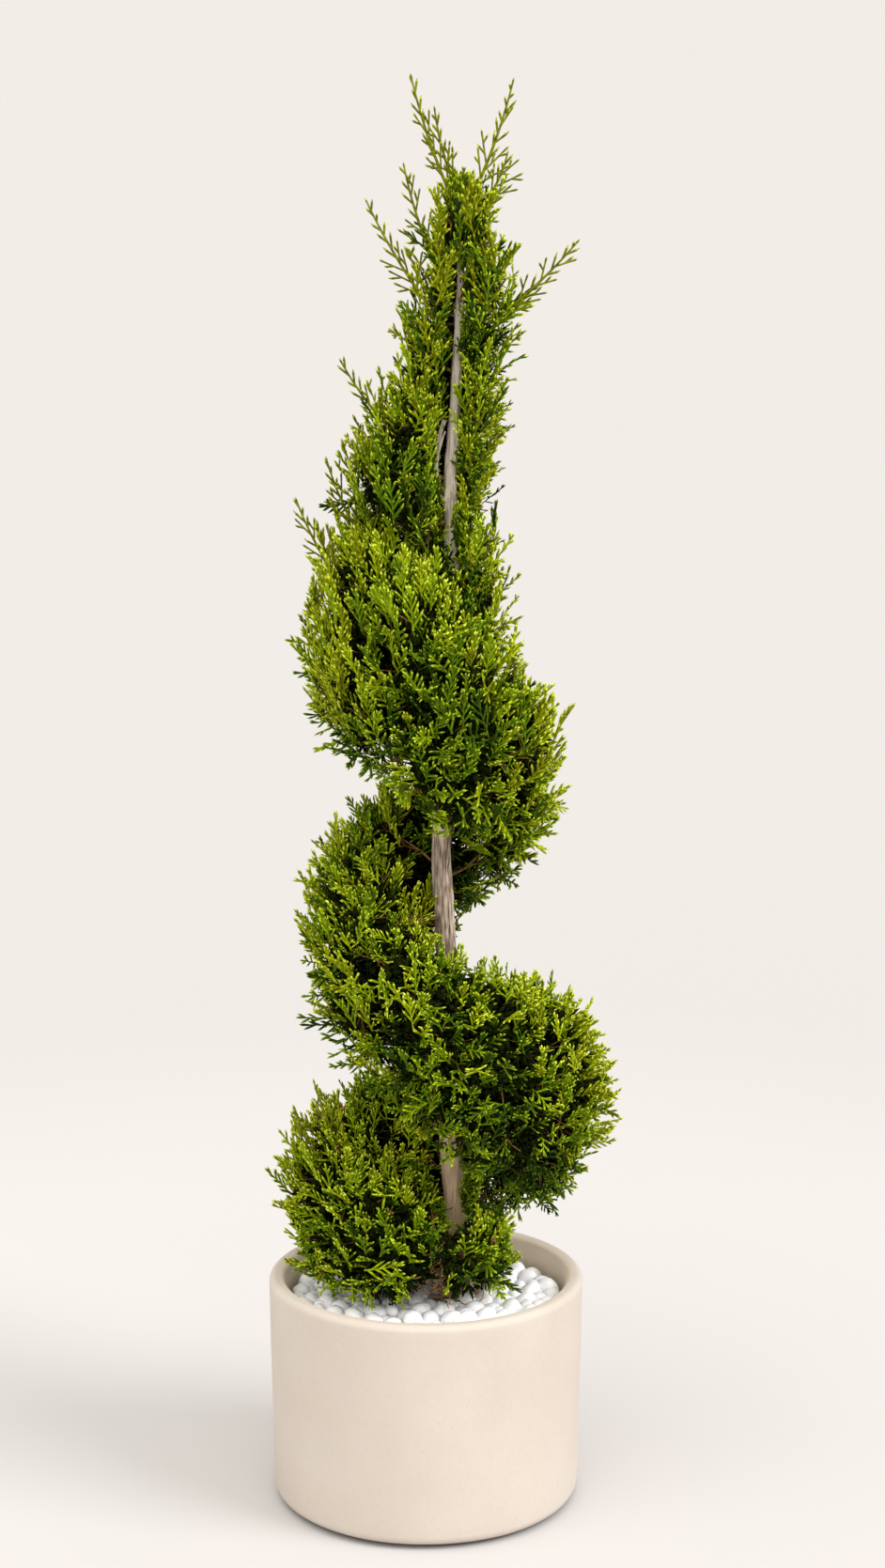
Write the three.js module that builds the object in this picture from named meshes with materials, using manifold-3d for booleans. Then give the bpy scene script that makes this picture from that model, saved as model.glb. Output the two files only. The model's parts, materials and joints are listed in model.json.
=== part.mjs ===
// A conifer clipped as a spiral, in a round pot with white pebbles on its soil.
//
// Sizes are in millimetres and +Z is up. The origin is the middle of the pot's flat underside,
// +X is to the right of the plant and -Y is its front. The clipped foliage climbs round the
// trunk as one ribbon, to the left across the front, and opens at the top into a cone with a
// slot down its front where the trunk shows. Turns are counted from the right: a quarter turn
// is the front, a half turn the left and three quarters the back.

import * as THREE from "three";
import { mergeVertices } from "three/addons/utils/BufferGeometryUtils.js";
import Module from "manifold-3d";

const wasm = await Module();
wasm.setup();

// ---- driving dimensions -------------------------------------------------------------------

const seat = 0.3; // the clearance between pieces that rest on or in each other
const crease = 2.4; // the clearance between masses of foliage, which their boughs carry
const stepsPerTurn = 26; // sections in a full turn of a mass

const pot = {
  height: 261,
  topRadius: 180,
  footRadius: 175,
  wall: 19,
  floor: 24,
  footRound: 12,
  lipRound: 8,
  segments: 36,
};

const soil = { top: 217 };

const mulch = {
  top: 238,
  hole: 31, // radius of the clear ring round the trunk's foot
  lump: 2, // how far the bed rises and falls
  lumpTurn: 2.4, // radians of the lumps' wave from one segment to the next
  rowTurn: 1.7, // and from one row to the next
  segments: 32,
};

const trunk = {
  // the middle of the trunk at a few heights, where it leans and straightens
  line: [
    [31, 0, soil.top],
    [36, 0, 295],
    [28, 1, 405],
    [24, 0, 625],
    [17, 0, 762],
    [24, 1, 905],
    [29, 0, 1063],
    [27, 0, 1155],
    [34, 0, 1267],
    [38, 1, 1355],
    [41, 2, 1467],
  ],
  thickness: 10, // how much the radius loses from foot to tip
  tipRadius: 2,
  taper: 2.6,
  flare: 11, // added to the radius at the ground
  flareHeight: 17,
  lobes: 3, // swellings round the trunk
  lobe: 0.03, // how far they stand out, as a share of the radius
  flareLobe: 0.14, // and how much more at the ground
  rings: 20,
  ringsToFoot: 1.6, // over 1 puts the rings closer together towards the foot
  sides: 10,
};

// The ribbon's vertical section at some turns: the height of its middle, half its height, how
// far it reaches from the middle of the trunk, and how round its underside is. Under 1 fills the
// section's lower corners.
const ribbon = {
  inner: 9, // its clearance round the trunk
  stations: [
    { turn: 0.02, height: 298, half: 46, reach: 68, under: 0.8 },
    { turn: 0.25, height: 300, half: 53, reach: 112, under: 0.7 },
    { turn: 0.5, height: 350, half: 103, reach: 193, under: 0.6 },
    { turn: 0.75, height: 402, half: 114, reach: 158, under: 0.9 },
    { turn: 1.0, height: 471, half: 132, reach: 182, under: 1.3 },
    { turn: 1.25, height: 545, half: 118, reach: 162, under: 1 },
    { turn: 1.38, height: 613, half: 112, reach: 158, under: 1 },
    { turn: 1.5, height: 663, half: 127, reach: 157, under: 1 },
    { turn: 1.75, height: 738, half: 100, reach: 130, under: 1 },
    { turn: 2.0, height: 842, half: 103, reach: 130, under: 1.2 },
    { turn: 2.12, height: 878, half: 104, reach: 121, under: 1.1 },
    { turn: 2.25, height: 920, half: 138, reach: 130, under: 1 },
    { turn: 2.38, height: 972, half: 122, reach: 148, under: 1 },
    { turn: 2.5, height: 998, half: 124, reach: 160, under: 0.95 },
    { turn: 2.7, height: 1058, half: 112, reach: 134, under: 0.9 },
  ],
  points: 12, // round a section
  uneven: 0.045, // how far its outside swells and sinks
  topShare: 1.03, // its top's height over its middle, as a share of half its height
};

// The cone at some heights: its middle, measured from the trunk, and its radius.
const cone = {
  inner: 6,
  stations: [
    { height: 935, x: -18, y: 26, radius: 84 },
    { height: 1035, x: -40, y: 22, radius: 96 },
    { height: 1115, x: -53, y: 18, radius: 84 },
    { height: 1195, x: -30, y: 18, radius: 74 },
    { height: 1240, x: -22, y: 15, radius: 71 },
    { height: 1295, x: -8, y: 10, radius: 55 },
    { height: 1360, x: 4, y: 6, radius: 61 },
    { height: 1455, x: 2, y: 2, radius: 49 },
    { height: 1505, x: 0, y: 0, radius: 40 },
  ],
  rows: 8, // up a section's outside
  footRound: 0.16, // how far a section draws in over the ribbon, as a share of its reach
  headRound: 0.05, // how far it draws in at its top
  uneven: 0.04, // how far its outside swells and sinks
  overRibbon: 4, // the crease between the ribbon's top and the cone over it
};

// The ribbon's masses, by the turns they start and end at.
const ribbonMasses = [
  { name: "foliage_foot_front", from: 0.02, to: 0.3 },
  { name: "foliage_low_left", from: 0.3, to: 0.55 },
  { name: "foliage_low_back", from: 0.55, to: 0.82 },
  { name: "foliage_middle_right", from: 0.82, to: 1.1 },
  { name: "foliage_middle_front", from: 1.1, to: 1.36 },
  { name: "foliage_middle_left", from: 1.36, to: 1.6 },
  { name: "foliage_middle_back", from: 1.6, to: 1.86 },
  { name: "foliage_high_right", from: 1.86, to: 2.12 },
  { name: "foliage_high_front", from: 2.12, to: 2.36 },
  { name: "foliage_high_left", from: 2.36, to: 2.64 },
];

// The cone's masses, by turns and heights. A mass with no low height of its own lies over the
// ribbon, as many turns above it as it says. The slot at the front is left between them.
const coneMasses = [
  { name: "foliage_cone_left", from: 2.32, to: 2.64, turnsAbove: 0, high: 1338 },
  { name: "foliage_cone_back", from: 2.64, to: 2.9, turnsAbove: 1, high: 1338 },
  { name: "foliage_cone_right", from: 2.9, to: 3.19, turnsAbove: 1, high: 1341 },
  { name: "foliage_crown_left", from: 2.3, to: 2.74, low: 1343, high: 1401 },
  { name: "foliage_crown_right", from: 2.74, to: 3.2, low: 1345, high: 1403 },
];

const crownTip = {
  name: "foliage_crown_tip",
  low: 1406,
  high: 1505,
  radius: 52,
  blunt: 0.97, // under 1 leaves its top a little flat
  uneven: 0.07,
  rings: 7,
  sides: 14,
};

// Boughs leave the trunk at a height, on a turn, and run up and out into a mass.
const bough = {
  sides: 7,
  rings: 5,
  lift: 0.55, // how far a bough rises, as a share of how far it runs out
  bendOut: 0.45, // where it bends upwards, as shares of its run and its rise
  bendUp: 0.3,
  tipShare: 0.4, // its tip's radius as a share of its foot's
};
const boughs = [
  { name: "bough_foot_front", turn: 0.2, height: 255, out: 62, radius: 4.5 },
  { name: "bough_low_left", turn: 0.46, height: 297, out: 110, radius: 6 },
  { name: "bough_low_back", turn: 0.7, height: 363, out: 100, radius: 5.5 },
  { name: "bough_middle_right", turn: 0.97, height: 377, out: 118, radius: 7 },
  { name: "bough_middle_front", turn: 1.24, height: 491, out: 96, radius: 5.5 },
  { name: "bough_middle_left", turn: 1.5, height: 603, out: 96, radius: 5.5 },
  { name: "bough_middle_back", turn: 1.74, height: 705, out: 86, radius: 5 },
  { name: "bough_high_right", turn: 2.0, height: 805, out: 80, radius: 5 },
  { name: "bough_high_front", turn: 2.24, height: 893, out: 78, radius: 4.5 },
  { name: "bough_high_left", turn: 2.5, height: 953, out: 88, radius: 4.5 },
  { name: "bough_cone_back", turn: 2.78, height: 1080, out: 52, radius: 4 },
  { name: "bough_cone_left", turn: 2.53, height: 1165, out: 48, radius: 3.5 },
  { name: "bough_cone_right", turn: 3.02, height: 1155, out: 34, radius: 3.5 },
  { name: "bough_crown_left", turn: 2.52, height: 1353, out: 28, radius: 2.5 },
  { name: "bough_crown_right", turn: 3.0, height: 1367, out: 28, radius: 2.5 },
];

// A broken side stem, bare and cut off blunt, which stands close to the trunk.
const snag = {
  name: "snag",
  foot: [25, -3, 1133],
  bend: [14, -12, 1170],
  tip: [20, -14, 1231],
  radius: 4.2,
  tipShare: 0.75,
};

// Unclipped shoots that stand out of the masses, from a foot inside the mass to a tip.
const shoot = { sides: 5, rings: 5, radius: 1.9, tipRadius: 0.8, bow: 5 };
const shoots = [
  { name: "shoot_leader_left", foot: [28, -4, 1471], tip: [-14, -8, 1593] },
  { name: "shoot_leader_middle", foot: [34, 8, 1479], tip: [11, 12, 1559] },
  { name: "shoot_leader_right", foot: [52, -4, 1471], tip: [94, -10, 1588] },
  { name: "shoot_crown_right", foot: [62, 4, 1461], tip: [88, 12, 1511] },
  { name: "shoot_crown_left", foot: [12, 6, 1397], tip: [-22, 4, 1500] },
  { name: "shoot_cone_right", foot: [74, 0, 1338], tip: [163, -12, 1420] },
  { name: "shoot_cone_left", foot: [8, 2, 1349], tip: [-62, -6, 1463] },
  { name: "shoot_shoulder_left", foot: [-30, 8, 1213], tip: [-90, -2, 1292] },
  { name: "shoot_high_left_inner", foot: [-70, 8, 1103], tip: [-107, 4, 1185] },
  { name: "shoot_high_left_outer", foot: [-92, 2, 1051], tip: [-140, -6, 1142] },
  { name: "shoot_low_left", foot: [-88, 0, 393], tip: [-126, -6, 485] },
  { name: "shoot_low_left_outer", foot: [-112, 6, 372], tip: [-151, 2, 442] },
];

const colours = {
  pot: { color: 0xe6d9c9, roughness: 0.6, metalness: 0 },
  soil: { color: 0x3a2a1e, roughness: 0.95, metalness: 0 },
  pebbles: { color: 0xeeeeec, roughness: 0.7, metalness: 0 },
  bark: { color: 0x8c7b6b, roughness: 0.9, metalness: 0 },
  foliage: { color: 0x6f9a1f, roughness: 0.8, metalness: 0 },
  shoots: { color: 0x7d8f2c, roughness: 0.8, metalness: 0 },
};

// ---- meshes and solids --------------------------------------------------------------------

const root = new THREE.Group();
const materials = {};
for (const [name, look] of Object.entries(colours)) {
  materials[name] = new THREE.MeshStandardMaterial({ name, ...look });
}

function addMesh(name, geometry, material) {
  const mesh = new THREE.Mesh(geometry, materials[material]);
  mesh.name = name;
  root.add(mesh);
}

// A closed BufferGeometry as a manifold-3d solid, with its faces turned outwards.
function solidOf(geometry) {
  const bare = new THREE.BufferGeometry();
  bare.setAttribute("position", geometry.getAttribute("position"));
  bare.setIndex(geometry.index);
  const merged = mergeVertices(bare, 1e-3);
  const vertProperties = merged.attributes.position.array;
  const triVerts = new Uint32Array(merged.index.array);
  const solid = new wasm.Manifold(new wasm.Mesh({ numProp: 3, vertProperties, triVerts }));
  if (solid.volume() > 0) return solid;
  return new wasm.Manifold(new wasm.Mesh({ numProp: 3, vertProperties, triVerts: triVerts.reverse() }));
}

function geometryOf(solid) {
  const mesh = solid.getMesh();
  const geometry = new THREE.BufferGeometry();
  geometry.setAttribute("position", new THREE.BufferAttribute(mesh.vertProperties, 3));
  geometry.setIndex(new THREE.BufferAttribute(mesh.triVerts, 1));
  geometry.computeVertexNormals();
  return geometry;
}

// Joins rings of points, each with the same number of points, into one closed solid. The two
// end rings are closed flat, by a cut of their own outline.
function loft(rings, outline) {
  const count = rings[0].length;
  const index = [];
  for (let k = 0; k + 1 < rings.length; k++) {
    for (let i = 0; i < count; i++) {
      const a = k * count + i;
      const b = k * count + ((i + 1) % count);
      index.push(a, b, a + count, b, b + count, a + count);
    }
  }
  const last = (rings.length - 1) * count;
  const round = rings[0].map((_, i) => new THREE.Vector2(...onCircle(i, count)));
  const flat = outline ?? round;
  for (const [a, b, c] of THREE.ShapeUtils.triangulateShape(flat, [])) {
    index.push(a, c, b, last + a, last + b, last + c);
  }
  const positions = rings.flat().flatMap((p) => p.toArray());
  const geometry = new THREE.BufferGeometry();
  geometry.setAttribute("position", new THREE.Float32BufferAttribute(positions, 3));
  geometry.setIndex(index);
  return solidOf(geometry);
}

function onCircle(i, count) {
  const angle = (2 * Math.PI * i) / count;
  return [Math.cos(angle), Math.sin(angle)];
}

// A limb of round section along a curve, with its radius at each share of its length. A limb
// swollen all round, past both its ends too, cuts the socket it sits in.
function limb(curve, { rings, sides }, radiusAt, swell) {
  const frames = curve.computeFrenetFrames(rings - 1, false);
  const sections = [];
  for (let k = 0; k < rings; k++) {
    const share = k / (rings - 1);
    const past = k === 0 ? -swell : k === rings - 1 ? swell : 0;
    const middle = curve.getPointAt(share).addScaledVector(frames.tangents[k], past);
    const ring = [];
    for (let i = 0; i < sides; i++) {
      const [c, s] = onCircle(i, sides);
      const radius = radiusAt(share) + swell;
      ring.push(
        middle
          .clone()
          .addScaledVector(frames.normals[k], c * radius)
          .addScaledVector(frames.binormals[k], s * radius),
      );
    }
    sections.push(ring);
  }
  return loft(sections);
}

// Reads a value between the stations of a table, along an even curve.
function between(stations, key, at, field) {
  const last = stations.length - 1;
  if (at <= stations[0][key]) return stations[0][field];
  if (at >= stations[last][key]) return stations[last][field];
  const i = stations.findIndex((s) => s[key] > at) - 1;
  const a = stations[i];
  const b = stations[i + 1];
  const t = (at - a[key]) / (b[key] - a[key]);
  const before = stations[Math.max(0, i - 1)];
  const after = stations[Math.min(last, i + 2)];
  const step = b[key] - a[key];
  const slopeA = (step * (b[field] - before[field])) / (b[key] - before[key]);
  const slopeB = (step * (after[field] - a[field])) / (after[key] - a[key]);
  const t2 = t * t;
  const t3 = t2 * t;
  return (
    (2 * t3 - 3 * t2 + 1) * a[field] +
    (t3 - 2 * t2 + t) * slopeA +
    (3 * t2 - 2 * t3) * b[field] +
    (t3 - t2) * slopeB
  );
}

// ---- pot, soil and pebbles ----------------------------------------------------------------

function arc(middleX, middleY, radius, fromDegrees, toDegrees, steps) {
  return Array.from({ length: steps + 1 }, (_, i) => {
    const angle = THREE.MathUtils.degToRad(fromDegrees + ((toDegrees - fromDegrees) * i) / steps);
    return new THREE.Vector2(middleX + radius * Math.cos(angle), middleY + radius * Math.sin(angle));
  });
}

function innerRadiusAt(z) {
  const share = z / pot.height;
  return pot.footRadius + (pot.topRadius - pot.footRadius) * share - pot.wall;
}

function makePot() {
  const { height, topRadius, footRadius, floor, footRound, lipRound } = pot;
  const profile = [
    new THREE.Vector2(0, 0),
    ...arc(footRadius - footRound, footRound, footRound, -90, 0, 5),
    ...arc(topRadius - lipRound, height - lipRound, lipRound, 0, 90, 3),
    ...arc(innerRadiusAt(height) + lipRound, height - lipRound, lipRound, 90, 180, 3),
    new THREE.Vector2(innerRadiusAt(floor), floor),
    new THREE.Vector2(0, floor),
  ];
  const geometry = new THREE.LatheGeometry(profile, pot.segments);
  geometry.rotateX(Math.PI / 2);
  addMesh("pot", geometryOf(solidOf(geometry)), "pot");
}

function makeSoil() {
  const bottom = pot.floor + seat;
  const profile = [
    new THREE.Vector2(0, bottom),
    new THREE.Vector2(innerRadiusAt(bottom) - 4 * seat, bottom),
    new THREE.Vector2(innerRadiusAt(soil.top) - 4 * seat, soil.top),
    new THREE.Vector2(0, soil.top),
  ];
  const geometry = new THREE.LatheGeometry(profile, pot.segments);
  geometry.rotateX(Math.PI / 2);
  addMesh("soil", geometryOf(solidOf(geometry)), "soil");
}

// A lumpy ring of pebbles over the soil, with a hole round the foot of the trunk.
function makeMulch() {
  const bottom = soil.top + seat;
  const outer = innerRadiusAt(bottom) - 4 * seat;
  const [holeX, holeY] = trunk.line[0];
  const geometry = new THREE.BufferGeometry();
  const points = [];
  const rows = [
    { share: 0, z: bottom },
    { share: 0, z: mulch.top - mulch.lump },
    { share: 0.35, z: mulch.top },
    { share: 0.7, z: mulch.top },
    { share: 1, z: mulch.top - mulch.lump },
    { share: 1, z: bottom },
  ];
  rows.forEach((row, k) => {
    for (let i = 0; i < mulch.segments; i++) {
      const [c, s] = onCircle(i, mulch.segments);
      const x = THREE.MathUtils.lerp(holeX + mulch.hole * c, outer * c, row.share);
      const y = THREE.MathUtils.lerp(holeY + mulch.hole * s, outer * s, row.share);
      const wave = Math.sin(mulch.lumpTurn * i + mulch.rowTurn * k);
      const lump = row.z === bottom ? 0 : mulch.lump * wave;
      points.push(x, y, row.z + lump);
    }
  });
  const index = [];
  for (let k = 0; k < rows.length; k++) {
    for (let i = 0; i < mulch.segments; i++) {
      const next = (i + 1) % mulch.segments;
      const a = k * mulch.segments;
      const b = ((k + 1) % rows.length) * mulch.segments;
      index.push(a + i, a + next, b + i, a + next, b + next, b + i);
    }
  }
  geometry.setAttribute("position", new THREE.Float32BufferAttribute(points, 3));
  geometry.setIndex(index);
  addMesh("pebble_bed", geometryOf(solidOf(geometry)), "pebbles");
}

// ---- trunk and boughs ---------------------------------------------------------------------

const trunkCurve = new THREE.CatmullRomCurve3(trunk.line.map((p) => new THREE.Vector3(...p)));
const trunkFoot = soil.top + seat;
const trunkTop = trunk.line.at(-1)[2];

// The middle of the trunk at a height, found along its curve.
function trunkAt(z) {
  let low = 0;
  let high = 1;
  for (let step = 0; step < 24; step++) {
    const half = (low + high) / 2;
    if (trunkCurve.getPoint(half).z < z) low = half;
    else high = half;
  }
  return trunkCurve.getPoint(low);
}

function trunkRadius(z) {
  const share = Math.min(1, (z - trunkFoot) / (trunkTop - trunkFoot));
  const taper = trunk.tipRadius + trunk.thickness * (1 - share ** trunk.taper);
  return taper + trunk.flare * Math.exp((trunkFoot - z) / trunk.flareHeight);
}

// The whole trunk in level rings, swollen by the clearance where it cuts other solids.
function trunkSolid(swell) {
  const rings = [];
  for (let k = 0; k < trunk.rings; k++) {
    const share = (k / (trunk.rings - 1)) ** trunk.ringsToFoot;
    const z = THREE.MathUtils.lerp(trunkFoot, trunkTop, share);
    const middle = trunkAt(z);
    const flare = Math.exp((trunkFoot - z) / trunk.flareHeight);
    const past = k === trunk.rings - 1 ? swell : 0;
    const ring = [];
    for (let i = 0; i < trunk.sides; i++) {
      const [c, s] = onCircle(i, trunk.sides);
      const wave = Math.sin((2 * Math.PI * trunk.lobes * i) / trunk.sides);
      const radius = trunkRadius(z) * (1 + (trunk.lobe + trunk.flareLobe * flare) * wave) + swell;
      ring.push(new THREE.Vector3(middle.x + c * radius, middle.y + s * radius, z + past));
    }
    rings.push(ring);
  }
  return loft(rings);
}

// The direction away from the trunk on a turn.
function outward(turn) {
  const angle = 2 * Math.PI * turn;
  return new THREE.Vector3(Math.cos(angle), -Math.sin(angle), 0);
}

function boughSolid(spec, swell) {
  const foot = trunkAt(spec.height);
  const out = outward(spec.turn);
  const rise = spec.out * bough.lift;
  const bend = foot.clone().addScaledVector(out, spec.out * bough.bendOut);
  bend.z += rise * bough.bendUp;
  const tip = foot.clone().addScaledVector(out, spec.out);
  tip.z += rise;
  const curve = new THREE.QuadraticBezierCurve3(foot, bend, tip);
  const radiusAt = (share) => spec.radius * THREE.MathUtils.lerp(1, bough.tipShare, share);
  return limb(curve, bough, radiusAt, swell);
}

function snagSolid(swell) {
  const points = [snag.foot, snag.bend, snag.tip].map((p) => new THREE.Vector3(...p));
  const curve = new THREE.QuadraticBezierCurve3(...points);
  const radiusAt = (share) => snag.radius * THREE.MathUtils.lerp(1, snag.tipShare, share);
  return limb(curve, bough, radiusAt, swell);
}

function shootSolid(spec, swell) {
  const foot = new THREE.Vector3(...spec.foot);
  const tip = new THREE.Vector3(...spec.tip);
  const bend = foot.clone().lerp(tip, 0.5);
  bend.x += Math.sign(tip.x - foot.x) * shoot.bow;
  bend.z -= shoot.bow;
  const curve = new THREE.QuadraticBezierCurve3(foot, bend, tip);
  const radiusAt = (share) => THREE.MathUtils.lerp(shoot.radius, shoot.tipRadius, share);
  return limb(curve, shoot, radiusAt, swell);
}

// ---- masses of foliage --------------------------------------------------------------------

// Uneven clipping: a smooth swell and hollow over the surface, from -1 to 1.
function unevenness(turn, around) {
  const angle = 2 * Math.PI * turn;
  return 0.6 * Math.sin(2 * around + 2.3 * angle) + 0.4 * Math.sin(3 * around - 3.1 * angle + 1);
}

// The outline of the ribbon's section on a turn, as distance from the trunk and height.
function ribbonSection(turn) {
  const height = between(ribbon.stations, "turn", turn, "height");
  const half = between(ribbon.stations, "turn", turn, "half");
  const reach = between(ribbon.stations, "turn", turn, "reach");
  const under = between(ribbon.stations, "turn", turn, "under");
  const inner = trunkRadius(height) + ribbon.inner;
  const outline = [];
  for (let i = 0; i < ribbon.points; i++) {
    const [c, s] = onCircle(i, ribbon.points);
    const outside = Math.max(0, c + 0.4);
    const uneven = 1 + ribbon.uneven * outside * unevenness(turn, Math.atan2(s, c));
    const fullness = s < 0 ? under : 1;
    const across = Math.sign(c) * Math.abs(c) ** fullness * uneven;
    const up = Math.sign(s) * Math.abs(s) ** fullness * uneven;
    outline.push(
      new THREE.Vector2((inner + reach) / 2 + (across * (reach - inner)) / 2, height + up * half),
    );
  }
  return outline;
}

// How far the cone reaches from the trunk on a turn, at a height.
function coneReach(turn, z) {
  const middle = new THREE.Vector3(
    between(cone.stations, "height", z, "x"),
    between(cone.stations, "height", z, "y"),
    0,
  );
  const radius = between(cone.stations, "height", z, "radius");
  const along = middle.dot(outward(turn));
  return along + Math.sqrt(Math.max(0, radius ** 2 - middle.lengthSq() + along ** 2));
}

function ribbonTop(turn) {
  return (
    between(ribbon.stations, "turn", turn, "height") +
    between(ribbon.stations, "turn", turn, "half") * ribbon.topShare
  );
}

// The outline of a cone mass's section on a turn: up its outside, then down beside the trunk.
function coneSection(spec, turn) {
  const low = spec.low ?? ribbonTop(turn - spec.turnsAbove) + cone.overRibbon;
  const footRound = spec.low ? cone.headRound : cone.footRound;
  const outline = [];
  for (let i = 0; i <= cone.rows; i++) {
    const share = i / cone.rows;
    const z = THREE.MathUtils.lerp(low, spec.high, share);
    const drawnIn = 1 - footRound * (1 - share) ** 6 - cone.headRound * share ** 8;
    const uneven = 1 + cone.uneven * unevenness(turn, 5 * share);
    const inner = trunkRadius(z) + cone.inner;
    outline.push(new THREE.Vector2(inner + (coneReach(turn, z) * uneven - inner) * drawnIn, z));
  }
  for (const z of [spec.high, (low + spec.high) / 2, low]) {
    outline.push(new THREE.Vector2(trunkRadius(z) + cone.inner, z));
  }
  return outline;
}

// Sweeps a section round the trunk, and draws each end back by half the crease.
function sweep(from, to, sectionAt) {
  const steps = Math.max(5, Math.round((to - from) * stepsPerTurn));
  const rings = [];
  for (let k = 0; k <= steps; k++) {
    const turn = THREE.MathUtils.lerp(from, to, k / steps);
    const out = outward(turn);
    const onward = outward(turn + 0.25);
    const back = k === 0 ? crease / 2 : k === steps ? -crease / 2 : 0;
    rings.push(
      sectionAt(turn).map((p) => {
        const middle = trunkAt(p.y);
        middle.z = p.y;
        return middle.addScaledVector(out, p.x).addScaledVector(onward, back);
      }),
    );
  }
  return loft(rings, sectionAt(from));
}

// A round head of foliage over the tip of the trunk.
function crownTipSolid() {
  const rings = [];
  for (let k = 0; k < crownTip.rings; k++) {
    const share = k / (crownTip.rings - 1);
    const z = THREE.MathUtils.lerp(crownTip.low, crownTip.high, share);
    const middle = trunkAt(z);
    const ring = [];
    for (let i = 0; i < crownTip.sides; i++) {
      const [c, s] = onCircle(i, crownTip.sides);
      const uneven = 1 + crownTip.uneven * Math.sin(2.6 * i + 1.3 * k);
      const radius = crownTip.radius * Math.sqrt(1 - crownTip.blunt * share ** 2) * uneven;
      ring.push(new THREE.Vector3(middle.x + c * radius, middle.y + s * radius, z));
    }
    rings.push(ring);
  }
  return loft(rings);
}

function makeFoliage() {
  const solids = new Map();
  for (const spec of ribbonMasses) solids.set(spec.name, sweep(spec.from, spec.to, ribbonSection));
  for (const spec of coneMasses) {
    solids.set(spec.name, sweep(spec.from, spec.to, (turn) => coneSection(spec, turn)));
  }
  solids.set(crownTip.name, crownTipSolid());

  // each mass opens round whatever runs into it
  const cutters = [trunkSolid(seat), snagSolid(seat)];
  for (const spec of boughs) cutters.push(boughSolid(spec, seat));
  for (const spec of shoots) cutters.push(shootSolid(spec, seat));
  for (const [name, solid] of solids) {
    const cut = cutters.reduce((left, cutter) => left.subtract(cutter), solid);
    const pieces = cut.decompose().sort((a, b) => b.volume() - a.volume());
    addMesh(name, geometryOf(pieces[0]), "foliage");
  }
}

function makeWood() {
  addMesh("trunk", geometryOf(trunkSolid(0)), "bark");
  const swollenTrunk = trunkSolid(seat);
  for (const spec of boughs) {
    addMesh(spec.name, geometryOf(boughSolid(spec, 0).subtract(swollenTrunk)), "bark");
  }
  addMesh(snag.name, geometryOf(snagSolid(0).subtract(swollenTrunk)), "bark");
  for (const spec of shoots) addMesh(spec.name, geometryOf(shootSolid(spec, 0)), "shoots");
}

makePot();
makeSoil();
makeMulch();
makeWood();
makeFoliage();

export default root;
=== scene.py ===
import json
import math

import bmesh
import bpy
import numpy as np
from mathutils import Matrix, Vector, noise
from mathutils.bvhtree import BVHTree

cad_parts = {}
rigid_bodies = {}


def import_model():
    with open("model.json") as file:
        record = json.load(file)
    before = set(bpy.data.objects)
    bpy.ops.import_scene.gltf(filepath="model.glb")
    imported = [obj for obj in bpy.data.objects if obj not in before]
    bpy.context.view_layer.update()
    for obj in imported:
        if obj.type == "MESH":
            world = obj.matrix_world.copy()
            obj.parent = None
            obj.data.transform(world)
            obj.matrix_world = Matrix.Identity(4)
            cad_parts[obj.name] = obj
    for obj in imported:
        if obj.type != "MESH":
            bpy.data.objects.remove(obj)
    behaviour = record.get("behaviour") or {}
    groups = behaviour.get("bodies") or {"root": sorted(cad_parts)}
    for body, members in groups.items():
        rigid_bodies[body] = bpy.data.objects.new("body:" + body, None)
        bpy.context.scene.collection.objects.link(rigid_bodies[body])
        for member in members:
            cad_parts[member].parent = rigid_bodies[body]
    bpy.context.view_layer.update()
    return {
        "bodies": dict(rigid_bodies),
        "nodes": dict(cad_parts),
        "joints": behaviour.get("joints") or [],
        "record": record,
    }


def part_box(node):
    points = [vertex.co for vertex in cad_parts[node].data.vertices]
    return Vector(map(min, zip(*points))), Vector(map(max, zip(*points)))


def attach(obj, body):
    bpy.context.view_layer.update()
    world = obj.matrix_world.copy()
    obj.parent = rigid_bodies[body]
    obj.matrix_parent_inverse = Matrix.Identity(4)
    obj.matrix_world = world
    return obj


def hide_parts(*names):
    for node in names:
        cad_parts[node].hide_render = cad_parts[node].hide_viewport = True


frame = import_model()
nodes = frame["nodes"]
print("frame loaded, nodes:", len(nodes))


class Wire:  # a socket of a node tree: sums on it add Math nodes
    def __init__(self, tree, socket):
        self.tree = tree
        self.socket = socket

    def reckon(self, kind, settings, values):
        node = self.tree.nodes.new(kind)
        for name, setting in settings.items():
            setattr(node, name, setting)
        for socket, value in zip(node.inputs, values):
            plug(self.tree, socket, value)
        return Wire(self.tree, node.outputs[0])

    def maths(self, operation, *values):
        return self.reckon("ShaderNodeMath", {"operation": operation}, values)

    def __add__(self, other):
        return self.maths("ADD", self, other)

    def __radd__(self, other):
        return self.maths("ADD", other, self)

    def __rsub__(self, other):
        return self.maths("SUBTRACT", other, self)

    def __mul__(self, other):
        return self.maths("MULTIPLY", self, other)

    def between(self, low, high):  # 0 under low, 1 over high, smooth on the way
        return self.reckon("ShaderNodeMapRange", {"interpolation_type": "SMOOTHSTEP"}, (self, low, high))


def plug(tree, socket, value):
    if isinstance(value, Wire):
        tree.links.new(value.socket, socket)
    else:
        socket.default_value = value


class Nodes:  # adds any node to a tree
    def __init__(self, tree):
        self.tree = tree

    def add(self, kind, settings=None, values=None, output=0):
        node = self.tree.nodes.new(kind)
        for name, setting in (settings or {}).items():
            if name == "stops":
                setStops(node.color_ramp, setting)
            else:
                setattr(node, name, setting)
        for name, value in (values or {}).items():
            plug(self.tree, node.inputs[name], value)
        return Wire(self.tree, node.outputs[output])


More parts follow.
